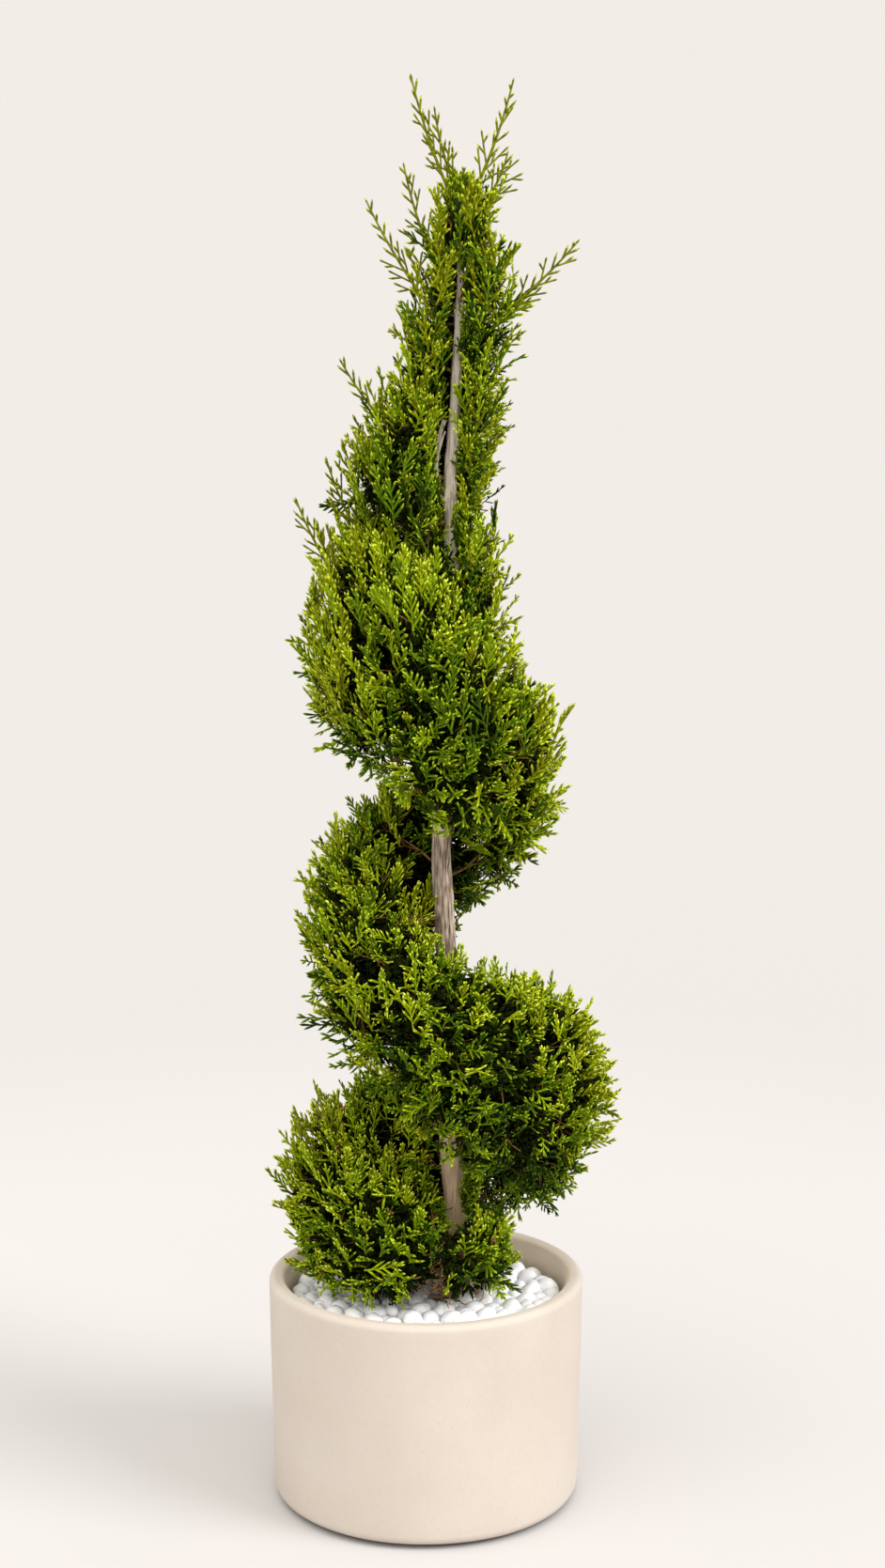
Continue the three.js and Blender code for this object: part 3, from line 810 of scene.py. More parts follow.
def ringAt(place, heading, radius, thickness=1.0):  # three corners across a heading
    side = unit(np.cross(heading, (0.2, 1, 0.1)))
    over = np.cross(heading, side) * thickness
    return [place + radius * (math.cos(a) * side + math.sin(a) * over) for a in thirds]


def wall(mesh, lower, upper):  # three faces between two rings
    points, faces = mesh
    faces.extend(wrap([lower, upper], closed=False, start=len(points)))
    points.extend(lower)
    points.extend(upper)


def addFinger(parts, start, heading, length, width, curl):  # says where a finger of its own may start
    heading = unit(np.array(heading, float))
    onward = unit(heading + np.array((0, 0, curl)))
    middle = start + heading * length * finger["tipFrom"]
    end = middle + onward * length * (1 - finger["tipFrom"])
    thickness = finger["thickness"]
    shoulder = ringAt(middle, unit(heading + onward), width, thickness)
    wall(parts[0], ringAt(start, heading, width * finger["footWidth"], thickness), shoulder)
    wall(parts[1], shoulder, ringAt(end, onward, width * finger["endWidth"], thickness))
    high = len(parts[1][0]) - 3
    parts[1][1].append((high, high + 1, high + 2))
    return start + (middle - start) * 0.6


def addStem(parts, line, width):  # a thin tapering tube in the older part
    rings = []
    for k, place in enumerate(line):
        heading = unit(line[min(k + 1, len(line) - 1)] - line[max(k - 1, 0)])
        rings.append(ringAt(place, heading, width * (1 - 0.3 * k / len(line))))
    for lower, upper in zip(rings[:-1], rings[1:]):
        wall(parts[0], lower, upper)


def frond(chance, kind):  # fingers by turns on the two sides of a stem, some with a finger of their own
    parts = ([], []), ([], [])
    sway = chance.normal(0, finger["sway"], 2)
    along = lambda share: np.array((sway[0] * share ** 2, sway[1] * share ** 2, kind["length"] * share))
    addStem(parts, [along(s) for s in (0, 0.5, 0.95)], finger["stemWidth"])
    width = finger["width"] * kind["slim"]
    first, run = finger["along"]
    count = round(kind["length"] * run / kind["gap"])
    for k in range(count):
        share = first + run * k / (count - 1)
        side = 1 if k % 2 else -1
        angle = math.radians(kind["spread"] * (1.1 - finger["narrowing"] * share) + chance.normal(0, 4))
        out = kind["longest"] * (1.08 - finger["narrowing"] * share) * chance.uniform(0.82, 1.12)
        tilt = chance.normal(0, kind["depth"])
        heading = (side * math.sin(angle), tilt, math.cos(angle))
        thick = width * chance.uniform(0.92, 1.1)
        middle = addFinger(parts, along(share), heading, out, thick, finger["curl"])
        if chance.uniform() < kind["forks"] and share < finger["forkUpTo"]:
            angle += math.radians(finger["forkTurn"])
            heading = (side * math.sin(angle), tilt + chance.normal(0, kind["depth"]), math.cos(angle))
            addFinger(parts, middle, heading, out * finger["forkLength"], width * finger["forkWidth"],
                      finger["curl"])
    heading = (sway[0] * 40, sway[1] * 40, 1)
    addFinger(parts, along(first + run), heading, kind["longest"] * finger["endLength"], width, 0)
    return parts


def shadeTuft(chance):  # near-black leaves inside the plant, painted shade, each a slim closed wedge
    points, faces = [], []
    for k in range(shadeTufts["leaves"]):
        heading = unit(chance.normal(size=3) + (0, 0, 0.4))
        start = chance.normal(0, shadeTufts["roots"], 3)
        out = shadeTufts["length"] * chance.uniform(0.75, 1.15)
        low = len(points)
        width = shadeTufts["width"] * chance.uniform(0.8, 1.15)
        points += ringAt(start + heading * out * 0.5, heading, width)
        points += [start, start + heading * out]
        for i in range(3):
            j = (i + 1) % 3
            faces += [(low + j, low + i, low + 3), (low + i, low + j, low + 4)]
    return (points, faces), ([], [])


def makeShapes():  # every shape of spray in one list, and where each kind starts and ends in it
    chance = np.random.default_rng(11)
    shapes, places = [], {}
    for name, kind in sprayKinds.items():
        places[name] = (len(shapes), len(shapes) + kind["shapes"])
        shapes += [frond(chance, kind) for k in range(kind["shapes"])]
    shades = [shadeTuft(chance) for k in range(shadeTufts["shapes"])]
    print("spray shapes made, faces in each:", [len(s[0][1]) + len(s[1][1]) for s in shapes])
    return shapes, places, shades


def shapeCollection(name, shapes, part):
    collection = newCollection(name)
    for index, shape in enumerate(shapes):
        points, faces = shape[part]
        mesh = bpy.data.meshes.new(f"{name}{index:02d}")
        mesh.from_pydata([tuple(p) for p in points], [], faces)
        mesh.polygons.foreach_set("use_smooth", [True] * len(mesh.polygons))
        collection.objects.link(bpy.data.objects.new(f"{name}{index:02d}", mesh))
    return collection


def clear(collection):
    for shape in list(collection.objects):
        bpy.data.objects.remove(shape)
    bpy.data.collections.remove(collection)


def sprayTree():
    tree, net, given, sink = newTree("placeSprays", {"Shapes": "Collection", "Leaf": "Material"})
    read = lambda name, kind: net.add("GeometryNodeInputNamedAttribute", {"data_type": kind}, {"Name": name})
    placed = net.add("GeometryNodeInstanceOnPoints", values={
        "Points": given["Geometry"], "Instance": childrenOf(net, given["Shapes"]), "Pick Instance": True,
        "Instance Index": read("shape", "INT"), "Rotation": read("turn", "QUATERNION"),
        "Scale": read("size", "FLOAT"),
    })
    endTree(net, sink, placed, given["Leaf"])
    return tree


def leafMaterial(name, colour, roughness=0.6, gloss=0.08):
    made, paint, shader = newMaterial(name, Roughness=roughness, Specular_IOR_Level=gloss)
    dull = tuple(c * 0.64 for c in colour)
    bright = tuple(min(1, c * 1.34) for c in colour)
    coat(paint.tree, shader, Base_Color=ramp(paint, noiseOf(paint, 170, 1), (0.36, dull), (0.64, bright)))
    return made


growth = {
    "seed": 21,
    "perSquareMetre": 5400,
    "evenness": 0.0098,  # least distance between two sprays' places
    "lump": 0.005,  # how far the clipped surface is uneven, and how often
    "lumpScale": 20,
    "hidden": 0.012,  # surfaces this close to another mass carry no sprays
    "inset": 0.026,  # how deep the twigs fork under the clipped surface
    "depths": (0.005, 0.036),  # of the places where sprays start
    "deepShare": 0.26,  # of the sprays start deeper, between the others
    "deeper": 0.014,
    "clump": 5,  # sprays that spread from one twig
    "gather": 0.14,  # how far a clump draws together, which opens gaps between clumps
    "fork": 0.28,  # how far the sprays of a clump spread from each other
    "lean": 0.3,  # how far a whole clump leans its own way
    "wander": 0.16,
    "roll": 0.36,  # how far a spray turns round its own stem, in radians
    "plumeRise": 0.35,  # how many more plumes there are on the tops, to the left and at the right edge
    "plumeLeft": 0.3,
    "fringe": 0.75,
    "plumes": (0.1, 0.85),  # the least and the most of them
    "fans": 0.26,
    "sideways": 0.25,  # how much all sprays point away from the trunk as well
    "drop": 0.45,  # how much of their way down those of the lower faces keep
    "rise": (0.9, 0.9, 0.3),  # how much they turn up at all, more on the tops and less to the right
    "rises": (0.1, 1.15),
    "sizes": (0.9, 1.25),
    "leastSize": 0.55,  # how far one shrinks to stay in the outline, as a part of its size
    "proud": (-0.35, 1.0),  # of what its part allows each stands out of the surface, and tops get half
    "strayShare": 0.06,  # of the sprays the shears missed, and they stand out further
    "hangShare": 0.25,  # of the sprays under the left side hang out as long sprigs, and how far
    "hang": (0.006, 0.018),
    "tipSpread": 0.012,  # how unevenly the sprays end at the crown's top
    "mostTriangles": 190000,  # in one piece
}

branching = {
    "reach": 0.42,  # how far a twig goes on towards its sprays before it forks
    "radius": 0.00055,
    "power": 0.36,  # how fast a twig thickens with the sprays that it bears
    "bandStep": 0.055,  # between the side branches of the trunk
    "bandHalf": 0.045,  # how far from a band's height the sprays are that its branch makes for
    "root": 0.06,  # how far out of the trunk's middle a branch starts, on the way to them
    "boughPull": 0.8,  # under 1, it gives the CAD bough more of the sprays
    "bareShare": 0.075,  # of the sprays have a bare old twig beside them, and three times that at the foot
    "bareLength": (0.018, 0.04),
    "bareRadius": 0.0013,
    "colour": (linear(98, 66, 28), linear(158, 110, 52)),
}

# For each part: how far its sprays point out and up, how far they stand proud and stray, how deep the
# near-black tufts of painted shade lie in it, how many sprays are dead, how light they are, how freely they
# spread and lean, how large they are, the share of plumes, from which share on there are sprigs, and the
# share of olive ones.
habits = table(
    "out up proud stray shade dead tone order larger plumes sprigs olive",
    foot=(0.7, 0.4, 0.01, 0.0, (0.026, 0.04), 0.01, 0.12, 1.0, 1.0, 0.1, 0.96, 0.0),
    low=(0.66, 0.5, 0.016, 0.017, (0.032, 0.046), 0.004, 0.28, 0.9, 0.95, 0.3, 0.96, 0.0),
    middle=(0.66, 0.5, 0.016, 0.017, (0.03, 0.044), 0.003, 0.04, 1.0, 0.9, 0.3, 0.96, 0.0),
    high=(0.55, 0.8, 0.016, 0.024, (0.03, 0.044), 0.003, 0.1, 0.8, 1.0, 0.45, 0.96, 0.0),
    cone=(0.5, 1.0, 0.018, 0.026, (0.018, 0.036), 0.003, -0.1, 0.7, 1.0, 0.26, 0.58, 0.25),
    crown=(0.5, 1.1, 0.018, 0.03, (0.016, 0.032), 0.004, 0.02, 0.6, 1.15, 0.26, 0.38, 0.75),
)

skirt = {  # near the trunk and further off, how high over the bed the sprays of a part stay
    "away": (0.03, 0.1),
    "foot": (0.006, 0.044),
    "low": (0.006, 0.022),
}

slot = {  # the openings down the plant's front, where the trunk shows
    "stretches": (  # from and to which height, how far to the left and right, and what stays in it
        (0.25, 0.3, 0.008, 0.008, 0.3),
        (0.3, 0.38, 0.005, 0.009, 0.06),
        (0.38, 0.42, 0.014, 0.008, 0.06),
        (1.052, 1.066, 0.008, 0.001, 0.3),
        (1.085, 1.105, 0.008, 0.001, 0.25),
        (1.118, 1.18, 0.0085, 0.001, 0.15),
        (1.18, 1.225, 0.013, 0.003, 0.05),
        (1.225, 1.295, 0.017, 0.003, 0.1),
        (1.295, 1.34, 0.0085, 0.001, 0.6),
        (1.34, 1.4, 0.0085, 0.005, 0.08),
    ),
    "foot": (0.0, 0.275, 0.05, -0.012, 0.12),  # the same of the opening where the dead twigs hang
    "footFront": 0.022,  # how far in front of the trunk it starts, and how fast its top rises forward
    "footRise": 0.35,
    "backFrom": 1.0,  # the near-black tufts of painted shade that close it behind the trunk
    "backStep": 0.003,
    "back": (0.01, (-0.018, 0.012), (0.014, 0.03), 0.6),  # how far aside, that at most, how far behind, size
}

crown = {
    "halves": ((1.4, 0.064), (1.44, 0.056), (1.47, 0.04), (1.5, 0.024)),  # heights, and half its width there
    "cores": ((1.34, 0.034), (1.41, 0.022), (1.47, 0.008)),  # and half of the width that can hold tufts of painted shade
    "dense": (-0.3, 0.55),  # between which parts of its half width all sprays stay
    "loose": 0.5,  # of the others stay
    "fray": (0.85, 0.3),  # how unevenly it ends at its sides
    "kept": 0.66,  # of its sprays
    "top": 1.505,  # the sprays end at about this height, and lower to its sides
    "slope": 0.6,
    "shadeTop": 1.475,  # no tufts of painted shade over this
}

trunkGrowth = {  # sprays that grow straight from the trunk where the plant is open down its front
    "bands": ((0.25, 0.38, 0.03, 0.012), (1.0, 1.115, 0.016, 0.016), (1.115, 1.4, 0.014, 0.014)),
    "step": 0.005,  # in height
    "clear": 0.007,  # of the trunk's middle, and from there out to these parts of the band's reach
    "aside": (0.3, 1.0),
    "jitter": 0.004,  # up and down
    "depth": (-0.012, 0.014),  # in front of the trunk's middle and behind it
    "lean": (-0.1, 0.7),
    "leanSpread": 0.15,
    "forward": (0.35, 0.9),
    "up": (0.6, 1.1),
    "sizes": (0.8, 1.1),
    "kinds": ("fan", "sprig", "plume", "fan"),
    "root": (0.014, 0.026),  # how far under a spray its twig leaves the trunk, and how it bends
    "rootBehind": 0.008,
    "bend": (0, 0.026, -0.012),
    "radii": (0.0007, 0.0006, 0.0005),
    "front": ((1.03, 1.125), (1.29, 1.345)),  # between these heights this share stands in front of it
    "frontShare": 0.5,
    "frontAside": (0.002, 0.006),
    "frontOff": 0.01,
    "frontLean": (0.1, 0.3),
    "snag": (1.126, 1.18, 12),  # heights between which fans hide the snag, and how many
    "snagAside": 0.014,
    "crown": (1.36, 1.46, 46),  # heights between which long sprigs fan out, and how many
    "crownLean": (-0.05, 0.44),
    "crownDepth": (-0.006, 0.014),
    "smallFrom": 1.445,  # the sprigs over this are small
    "small": (0.6, 0.8),
    "large": (0.8, 1.2),
    "tone": (-0.08, 0.22),
}

tangle = {  # thin dead twigs that hang in front of the trunk's foot
    "twigs": 26,
    "from": (0.246, 0.27),
    "lengths": 8,  # bent lengths of a twig, the first half of them nearly in line
    "length": (0.007, 0.012),
    "radius": (0.0009, 0.0014),
    "taper": 0.92,
    "sag": 0.08,
    "colour": (linear(168, 124, 72), linear(214, 174, 112)),
}

tones = {  # what makes a spray lighter, or darker where it is less than 0: random tone, and painted light and shade by how it faces, how deep it lies and what hangs over it
    "patches": 0.45,  # how far it varies from place to place, from clump to clump and between sprays
    "patchScale": 14,
    "clumps": 0.13,
    "sprays": 0.25,
    "all": -0.04,
    # painted shade on the sprays that start deeper
    "deep": -0.3,
    "top": 0.58,  # painted light on faces that look up, and how much painted shade darkens those that look down
    "bottom": 0.2,
    "edge": 0.46,  # painted light on faces to the left, from where they look this far aside, and to the right, the lamp's side, as much again
    "edgeFrom": 0.45,
    "rightEdge": 1.25,
    "shelter": -0.62,  # painted shade on places that foliage hangs over, up to this far off
    "shelterReach": 0.17,
    "underside": 0.3,  # the part of that painted shade that lower faces get, as their own mass hangs over them
    "stray": 0.2,  # painted light: the least for strays, out in the light
    "edgeOlive": 0.45,  # of the sprays at the edges are olive, the yellower green of painted light shining through them
    "olive": 10.0,  # the mark of olive sprays, past all tones
}

leafTones = {  # display colours of the older and the newer growth, and the tone where each ends; the tone carries painted light and shade, so the darker kinds also paint shade and the lighter kinds light
    "old": ((36, 56, 2), (76, 104, 10), -0.5),
    "deep": ((54, 78, 2), (98, 128, 12), -0.18),
    "middle": ((90, 117, 4), (142, 166, 28), 0.14),
    "fresh": ((126, 150, 7), (176, 194, 44), 0.48),
    "lime": ((153, 170, 10), (202, 214, 70), tones["olive"]),
    "olive": ((130, 140, 6), (176, 186, 38), math.inf),
}
deadColours = ((112, 80, 40), (158, 122, 70))

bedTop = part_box("pebble_bed")[1][2]

paintedShadeLeaves = {  # near-black tufts of painted shade behind the sprays, and deeper still
    "perSquareMetre": 3900,
    "corePerSquareMetre": 1700,
    "coreInset": (0.05, 0.085),
    "least": 0.006,  # how far under the surface one has to lie, and how deep it is of full size
    "full": 0.036,
    "colour": (25, 35, 3),
}


def surfacePoints(node, perSquareMetre, chance):  # random points on a solid, how each faces, and the area
    mesh = nodes[node].data
    mesh.calc_loop_triangles()
    places = np.array([v.co for v in mesh.vertices])
    triangles = np.array([t.vertices for t in mesh.loop_triangles])
    a, b, c = (places[triangles[:, k]] for k in range(3))
    cross = np.cross(b - a, c - a)
    area = np.linalg.norm(cross, axis=1) / 2
    count = int(area.sum() * perSquareMetre * 2.2)
    pick = chance.choice(len(area), count, p=area / area.sum())
    u, v = chance.uniform(size=(2, count, 1))
    over = (u + v) > 1
    u, v = np.where(over, 1 - u, u), np.where(over, 1 - v, v)
    spots = a[pick] + u * (b - a)[pick] + v * (c - a)[pick]
    return spots, unit(cross[pick]), area.sum()


def spacedOut(spots, apart, most):  # keeps spots that are not too close to an earlier one
    cells = {}
    kept = []
    around = [(i, j, k) for i in (-1, 0, 1) for j in (-1, 0, 1) for k in (-1, 0, 1)]
    for index, spot in enumerate(spots):
        cell = tuple(np.floor(spot / apart).astype(int))
        near = [o for i, j, k in around for o in cells.get((cell[0] + i, cell[1] + j, cell[2] + k), ())]
        if all(np.dot(spot - spots[o], spot - spots[o]) > apart * apart for o in near):
            cells.setdefault(cell, []).append(index)
            kept.append(index)
            if len(kept) >= most:
                break
    return np.array(kept)


def isInside(tree, place):  # every way out of a closed solid first meets a face from behind
    for way in ((1, 0.03, 0.02), (-1, 0.02, 0.05), (0.04, 0.02, 1)):
        hit = tree.ray_cast(Vector(place), Vector(way))
        if hit[0] is None or hit[1].dot(Vector(way)) < 0:
            return False
    return True


def searchTree(names):  # one search tree of some CAD solids, to ask what lies near a point
    places, faces = [], []
    for name in names:
        mesh = nodes[name].data
        mesh.calc_loop_triangles()
        start = len(places)
        places += [v.co.copy() for v in mesh.vertices]
        faces += [tuple(start + i for i in t.vertices) for t in mesh.loop_triangles]
    return BVHTree.FromPolygons(places, faces)


def growTwigs(starts, bases, chance):
    # Each start feeds its share of the bases. A twig runs part of the way to the middle of its
    # bases, then forks into two halves of them, until each base has a twig of its own.
    segments, lasts = [], []
    clumps = np.zeros(len(bases), int)
    for start, ids in starts:
        todo = [(np.array(start), np.array(ids))]
        while todo:
            place, ids = todo.pop()
            count = len(ids)
            thick = branching["radius"] * count ** branching["power"]
            if growth["clump"] // 2 < count <= growth["clump"]:
                clumps[ids] = ids[0]
            if count == 1:
                lasts.append((place, ids[0], thick))
                continue
            middle = bases[ids].mean(0)
            gap = middle - place
            onward = place + gap * branching["reach"] * chance.uniform(0.85, 1.15)
            onward = onward + chance.normal(0, 0.05, 3) * np.linalg.norm(gap)
            segments.append((place, onward, thick * 1.1, thick))
            spread = bases[ids] - middle
            axis = np.linalg.eigh(spread.T @ spread)[1][:, -1]
            order = np.argsort(spread @ axis)
            half = max(1, int(count * chance.uniform(0.4, 0.6)))
            todo += [(onward, ids[order[:half]]), (onward, ids[order[half:]])]
    return segments, lasts, clumps


def tubesMesh(segments, sides=3):  # straight tubes, each from a start to an end with a radius at both
    starts, ends = (np.array([s[end] for s in segments]) for end in (0, 1))
    radii = np.array([s[2:] for s in segments])
    heading = unit(ends - starts)
    side = unit(np.cross(heading, np.array((0.31, 0.2, 0.93))))
    over = np.cross(heading, side)
    points = np.zeros((len(segments), 2 * sides, 3))
    for i, (x, y) in enumerate(circle(sides)):
        way = x * side + y * over
        points[:, i] = starts + way * radii[:, :1]
        points[:, sides + i] = ends + way * radii[:, 1:]
    faces = []
    for k in range(len(segments)):
        faces += wrap(points[k].reshape(2, sides, 3), start=k * 2 * sides)
    return points.reshape(-1, 3), faces


def massStarts(node, bases, line):
    # The CAD bough feeds the sprays nearest its tip. Side branches of the trunk feed the rest,
    # in bands of height.
    bough = node.replace("foliage_", "bough_")
    spots = []
    if bough in nodes:
        places = corners(bough)
        away = np.array([np.linalg.norm(p[:2] - trunkAt(line, p[2])[:2]) for p in places])
        spots.append(places[away >= np.quantile(away, 0.85)].mean(0))
    low, high = bases[:, 2].min(), bases[:, 2].max()
    for z in np.arange(low + 0.02, high, branching["bandStep"]):
        near = bases[np.abs(bases[:, 2] - z - 0.03) < branching["bandHalf"]]
        if len(near):
            root = trunkAt(line, min(z, line[-1, 0]))
            spots.append(root + (near.mean(0) - root) * (branching["root"], branching["root"], 0))
    cost = np.linalg.norm(bases[:, None] - np.array(spots)[None] - (0, 0, 0.02), axis=2)
    if bough in nodes:
        cost[:, 0] *= branching["boughPull"]
    owner = cost.argmin(1)
    return [(spots[k], np.nonzero(owner == k)[0]) for k in range(len(spots)) if (owner == k).any()]


def depthOf(tree, place, facing):  # how thick a mass is under a place on its surface
    hit = tree.ray_cast(Vector(place - facing * 0.001), Vector(-facing), 0.2)
    return 0.2 if hit[0] is None else hit[3]


def openSurface(name, around, chance):  # evenly scattered spots where a mass's surface is open to the air
    found, facing, area = surfacePoints(name, growth["perSquareMetre"], chance)
    keep = []
    for k in range(len(found)):
        place, way = Vector(found[k]), Vector(facing[k])
        hit = around.ray_cast(place + way * 0.0008, way, growth["hidden"])
        if hit[0] is None and not (place.z < bedTop + 0.012 and way.z < -0.2):
            keep.append(k)
    found, facing = found[keep], facing[keep]
    kept = spacedOut(found, growth["evenness"], int(area * growth["perSquareMetre"]))
    return found[kept], facing[kept]


def shelterOver(around, place, facing):  # how closely foliage hangs over a place, from 0 to 1
    hit = around.ray_cast(Vector(place + facing * 0.02), Vector((0, 0, 1)), tones["shelterReach"])
    return 0.0 if hit[0] is None else 1 - hit[3] / tones["shelterReach"]


def pickShapes(part, facing, kindPlaces, chance):
    # plumes grow on the tops and on one side, stars on the lower faces, thin sprigs at the crown
    count = len(facing)
    roll = chance.uniform(size=count)
    right, top = facing[:, 0], facing[:, 2]
    plume = np.full(count, habits[part]["plumes"])
    if part not in ("cone", "crown"):
        plume = plume + growth["plumeRise"] * top - growth["plumeLeft"] * right
        plume = np.clip(plume + growth["fringe"] * np.clip((right - 0.5) / 0.3, 0, 1), *growth["plumes"])
    star = habits[part]["sprigs"]
    fan = np.minimum(plume + growth["fans"], star)
    kinds = np.select([roll < plume, roll < fan, roll < star], ["plume", "fan", "star"], "sprig")
    first, last = np.array([kindPlaces[kind] for kind in kinds]).T
    return (first + chance.uniform(size=count) * (last - first)).astype(int)


def inSlot(start, end, line, chance):  # does a spray hang in front of the trunk where the plant is open?
    lucky = chance.uniform()
    for share in (0.3, 0.65, 1.0):
        spot = start + (end - start) * share
        middle = trunkAt(line, spot[2])
        aside, front = spot[0] - middle[0], middle[1] - spot[1]
        gaps = slot["stretches"] if front > 0 else ()
        if front > slot["footFront"]:
            low, high, *rest = slot["foot"]
            gaps += ((low, high + slot["footRise"] * front, *rest),)
        for low, high, left, right, kept in gaps:
            if low < spot[2] < high and -left < aside < right and lucky > kept:
                return True
    return False


def crownAside(place, line):  # how far a place is to one side of the crown's middle
    return place[..., 0] - trunkAt(line, line[-1, 0])[0]


def crownHolds(place, line, chance):  # is a place within the crown, which narrows and is loose on its sides?
    aside = crownAside(place, line) / np.interp(place[2], *zip(*crown["halves"]))
    lucky = chance.uniform()
    low, high = crown["dense"]
    dense = low < aside < high or place[2] < crown["halves"][0][0] or lucky < crown["loose"]
    return abs(aside) < crown["fray"][0] + crown["fray"][1] * lucky and dense


def rootTangle(line, chance):
    twigs = []
    for k in range(tangle["twigs"]):
        place = trunkAt(line, chance.uniform(*tangle["from"]))
        way = unit(np.array((chance.normal(-0.55, 0.2), -1.0, chance.uniform(0.1, 0.5))))
        thick = chance.uniform(*tangle["radius"])
        for step in range(tangle["lengths"]):
            onward = place + way * chance.uniform(*tangle["length"])
            onward[2] = max(onward[2], bedTop + 0.001)
            twigs.append((place, onward, thick, thick * tangle["taper"]))
            place, thick = onward, thick * tangle["taper"]
            bend = 0.3 if step < tangle["lengths"] / 2 else 0.7
            way = unit(way + chance.normal(0, bend, 3) - (0, 0, tangle["sag"]))
    return twigs


def bareTwig(start, way, own, chance):  # an old twig in two bent lengths, with nothing left on it
    length = chance.uniform(*branching["bareLength"]) / 2
    thick = branching["bareRadius"] * chance.uniform(0.7, 1.2)
    bend = start + unit(way + chance.normal(0, 0.3, 3)) * length
    end = bend + unit(way + chance.normal(0, 0.5, 3)) * length
    if not (isInside(own, bend) and isInside(own, end)):
        return []
    return [(start, bend, thick, thick * 0.9), (bend, end, thick * 0.95, thick * 0.6)]


def shadeSpots(name, line, chance):  # places and sizes of the near-black tufts of painted shade inside a mass
    own = searchTree([name])
    spots = []
    for density, band in ((paintedShadeLeaves["perSquareMetre"], habits[name.split("_")[1]]["shade"]),
                          (paintedShadeLeaves["corePerSquareMetre"], paintedShadeLeaves["coreInset"])):
        found, facing, area = surfacePoints(name, density, chance)
        for place, way in list(zip(found, facing))[:int(area * density)]:
            place = place - way * min(chance.uniform(*band), depthOf(own, place, way) * 0.5)
            depth = own.find_nearest(Vector(place))[3]
            core = np.interp(place[2], *zip(*crown["cores"]))
            if "crown" in name and abs(crownAside(place, line)) > core or place[2] > crown["shadeTop"]:
                continue
            if isInside(own, place) and depth > paintedShadeLeaves["least"] and not inSlot(place, place, line, chance):
                spots.append((place, min(1.0, depth / paintedShadeLeaves["full"])))
    return spots


def trunkSprays(line, lengths, kindPlaces, chance):
    rule = trunkGrowth
    found, twigs = [], []

    def add(base, way, faceTo, size, kind):
        found.append((base, way, faceTo, size, chance.integers(*kindPlaces[kind])))

    for low, high, left, right in rule["bands"]:
        for z in np.arange(low, high, rule["step"]):
            for side, reach in ((-1, left), (1, right)):
                root = trunkAt(line, z - chance.uniform(*rule["root"])) + (0, rule["rootBehind"], 0)
                aside = rule["clear"] + chance.uniform(*rule["aside"]) * reach
                place = trunkAt(line, z + chance.normal(0, rule["jitter"]))
                place = place + (side * aside, chance.uniform(*rule["depth"]), 0)
                lean = side * chance.uniform(*rule["lean"]) + chance.normal(0, rule["leanSpread"])
                if any(a < z < b for a, b in rule["front"]) and chance.uniform() < rule["frontShare"]:
                    place = trunkAt(line, z) + (chance.normal(*rule["frontAside"]), -rule["frontOff"], 0)
                    lean = chance.normal(*rule["frontLean"])
                way = (lean, -chance.uniform(*rule["forward"]), chance.uniform(*rule["up"]))
                size = chance.uniform(*rule["sizes"])
                add(place, way, (0.4 * side, -1, 0.3), size, rule["kinds"][chance.integers(4)])
                turn = place + rule["bend"]
                thick, slim, slimmer = rule["radii"]
                twigs += [(root, turn, thick, slim), (turn, place, slim, slimmer)]
    low, high, count = rule["snag"]
    stem = corners("snag")
    for z in np.linspace(low, high, count):
        near = stem[np.abs(stem[:, 2] - z).argsort()[:6]].mean(0)
        left = min(near[0], trunkAt(line, z)[0] - 0.011) - chance.uniform(0, rule["snagAside"])
        place = np.array((left, near[1] - chance.uniform(0.004, 0.016), z - 0.016))
        way = (chance.normal(-0.15, 0.2), -0.35, 1.0)
        add(place, way, (-0.3, -1, 0.3), chance.uniform(0.8, 1.0), "fan")
        twigs.append((np.array((near[0], near[1] + 0.006, z - 0.03)), place, 0.0008, 0.0006))
    low, high, count = rule["crown"]
    for z in np.linspace(low, high, count):
        lean = chance.normal(*rule["crownLean"]) * (1 - 0.6 * (z - low) / (high - low))
        middle = trunkAt(line, min(z, line[-1, 0]))
        place = np.array((middle[0] + 0.03 * lean, middle[1] + chance.normal(*rule["crownDepth"]), z))
        way = (lean, chance.normal(-0.1, 0.25), 1.0)
        size = chance.uniform(*rule["large" if z < rule["smallFrom"] else "small"])
        add(place, way, (0.2 * lean, -1, 0.2), size, "sprig")
        twigs.append((middle - (0, 0, 0.012), place, 0.0009, 0.0007))
    base, way, faceTo, size, shape = (np.array(each) for each in zip(*found))
    way = unit(way)
    tone = chance.normal(*rule["tone"], len(base))
    free = [not inSlot(b, b + w * r, line, chance) for b, w, r in zip(base, way, lengths[shape] * size)]
    dead = np.zeros(len(base), bool)
    return [each[free] for each in (base, way, faceTo, size, shape, tone, dead)], twigs


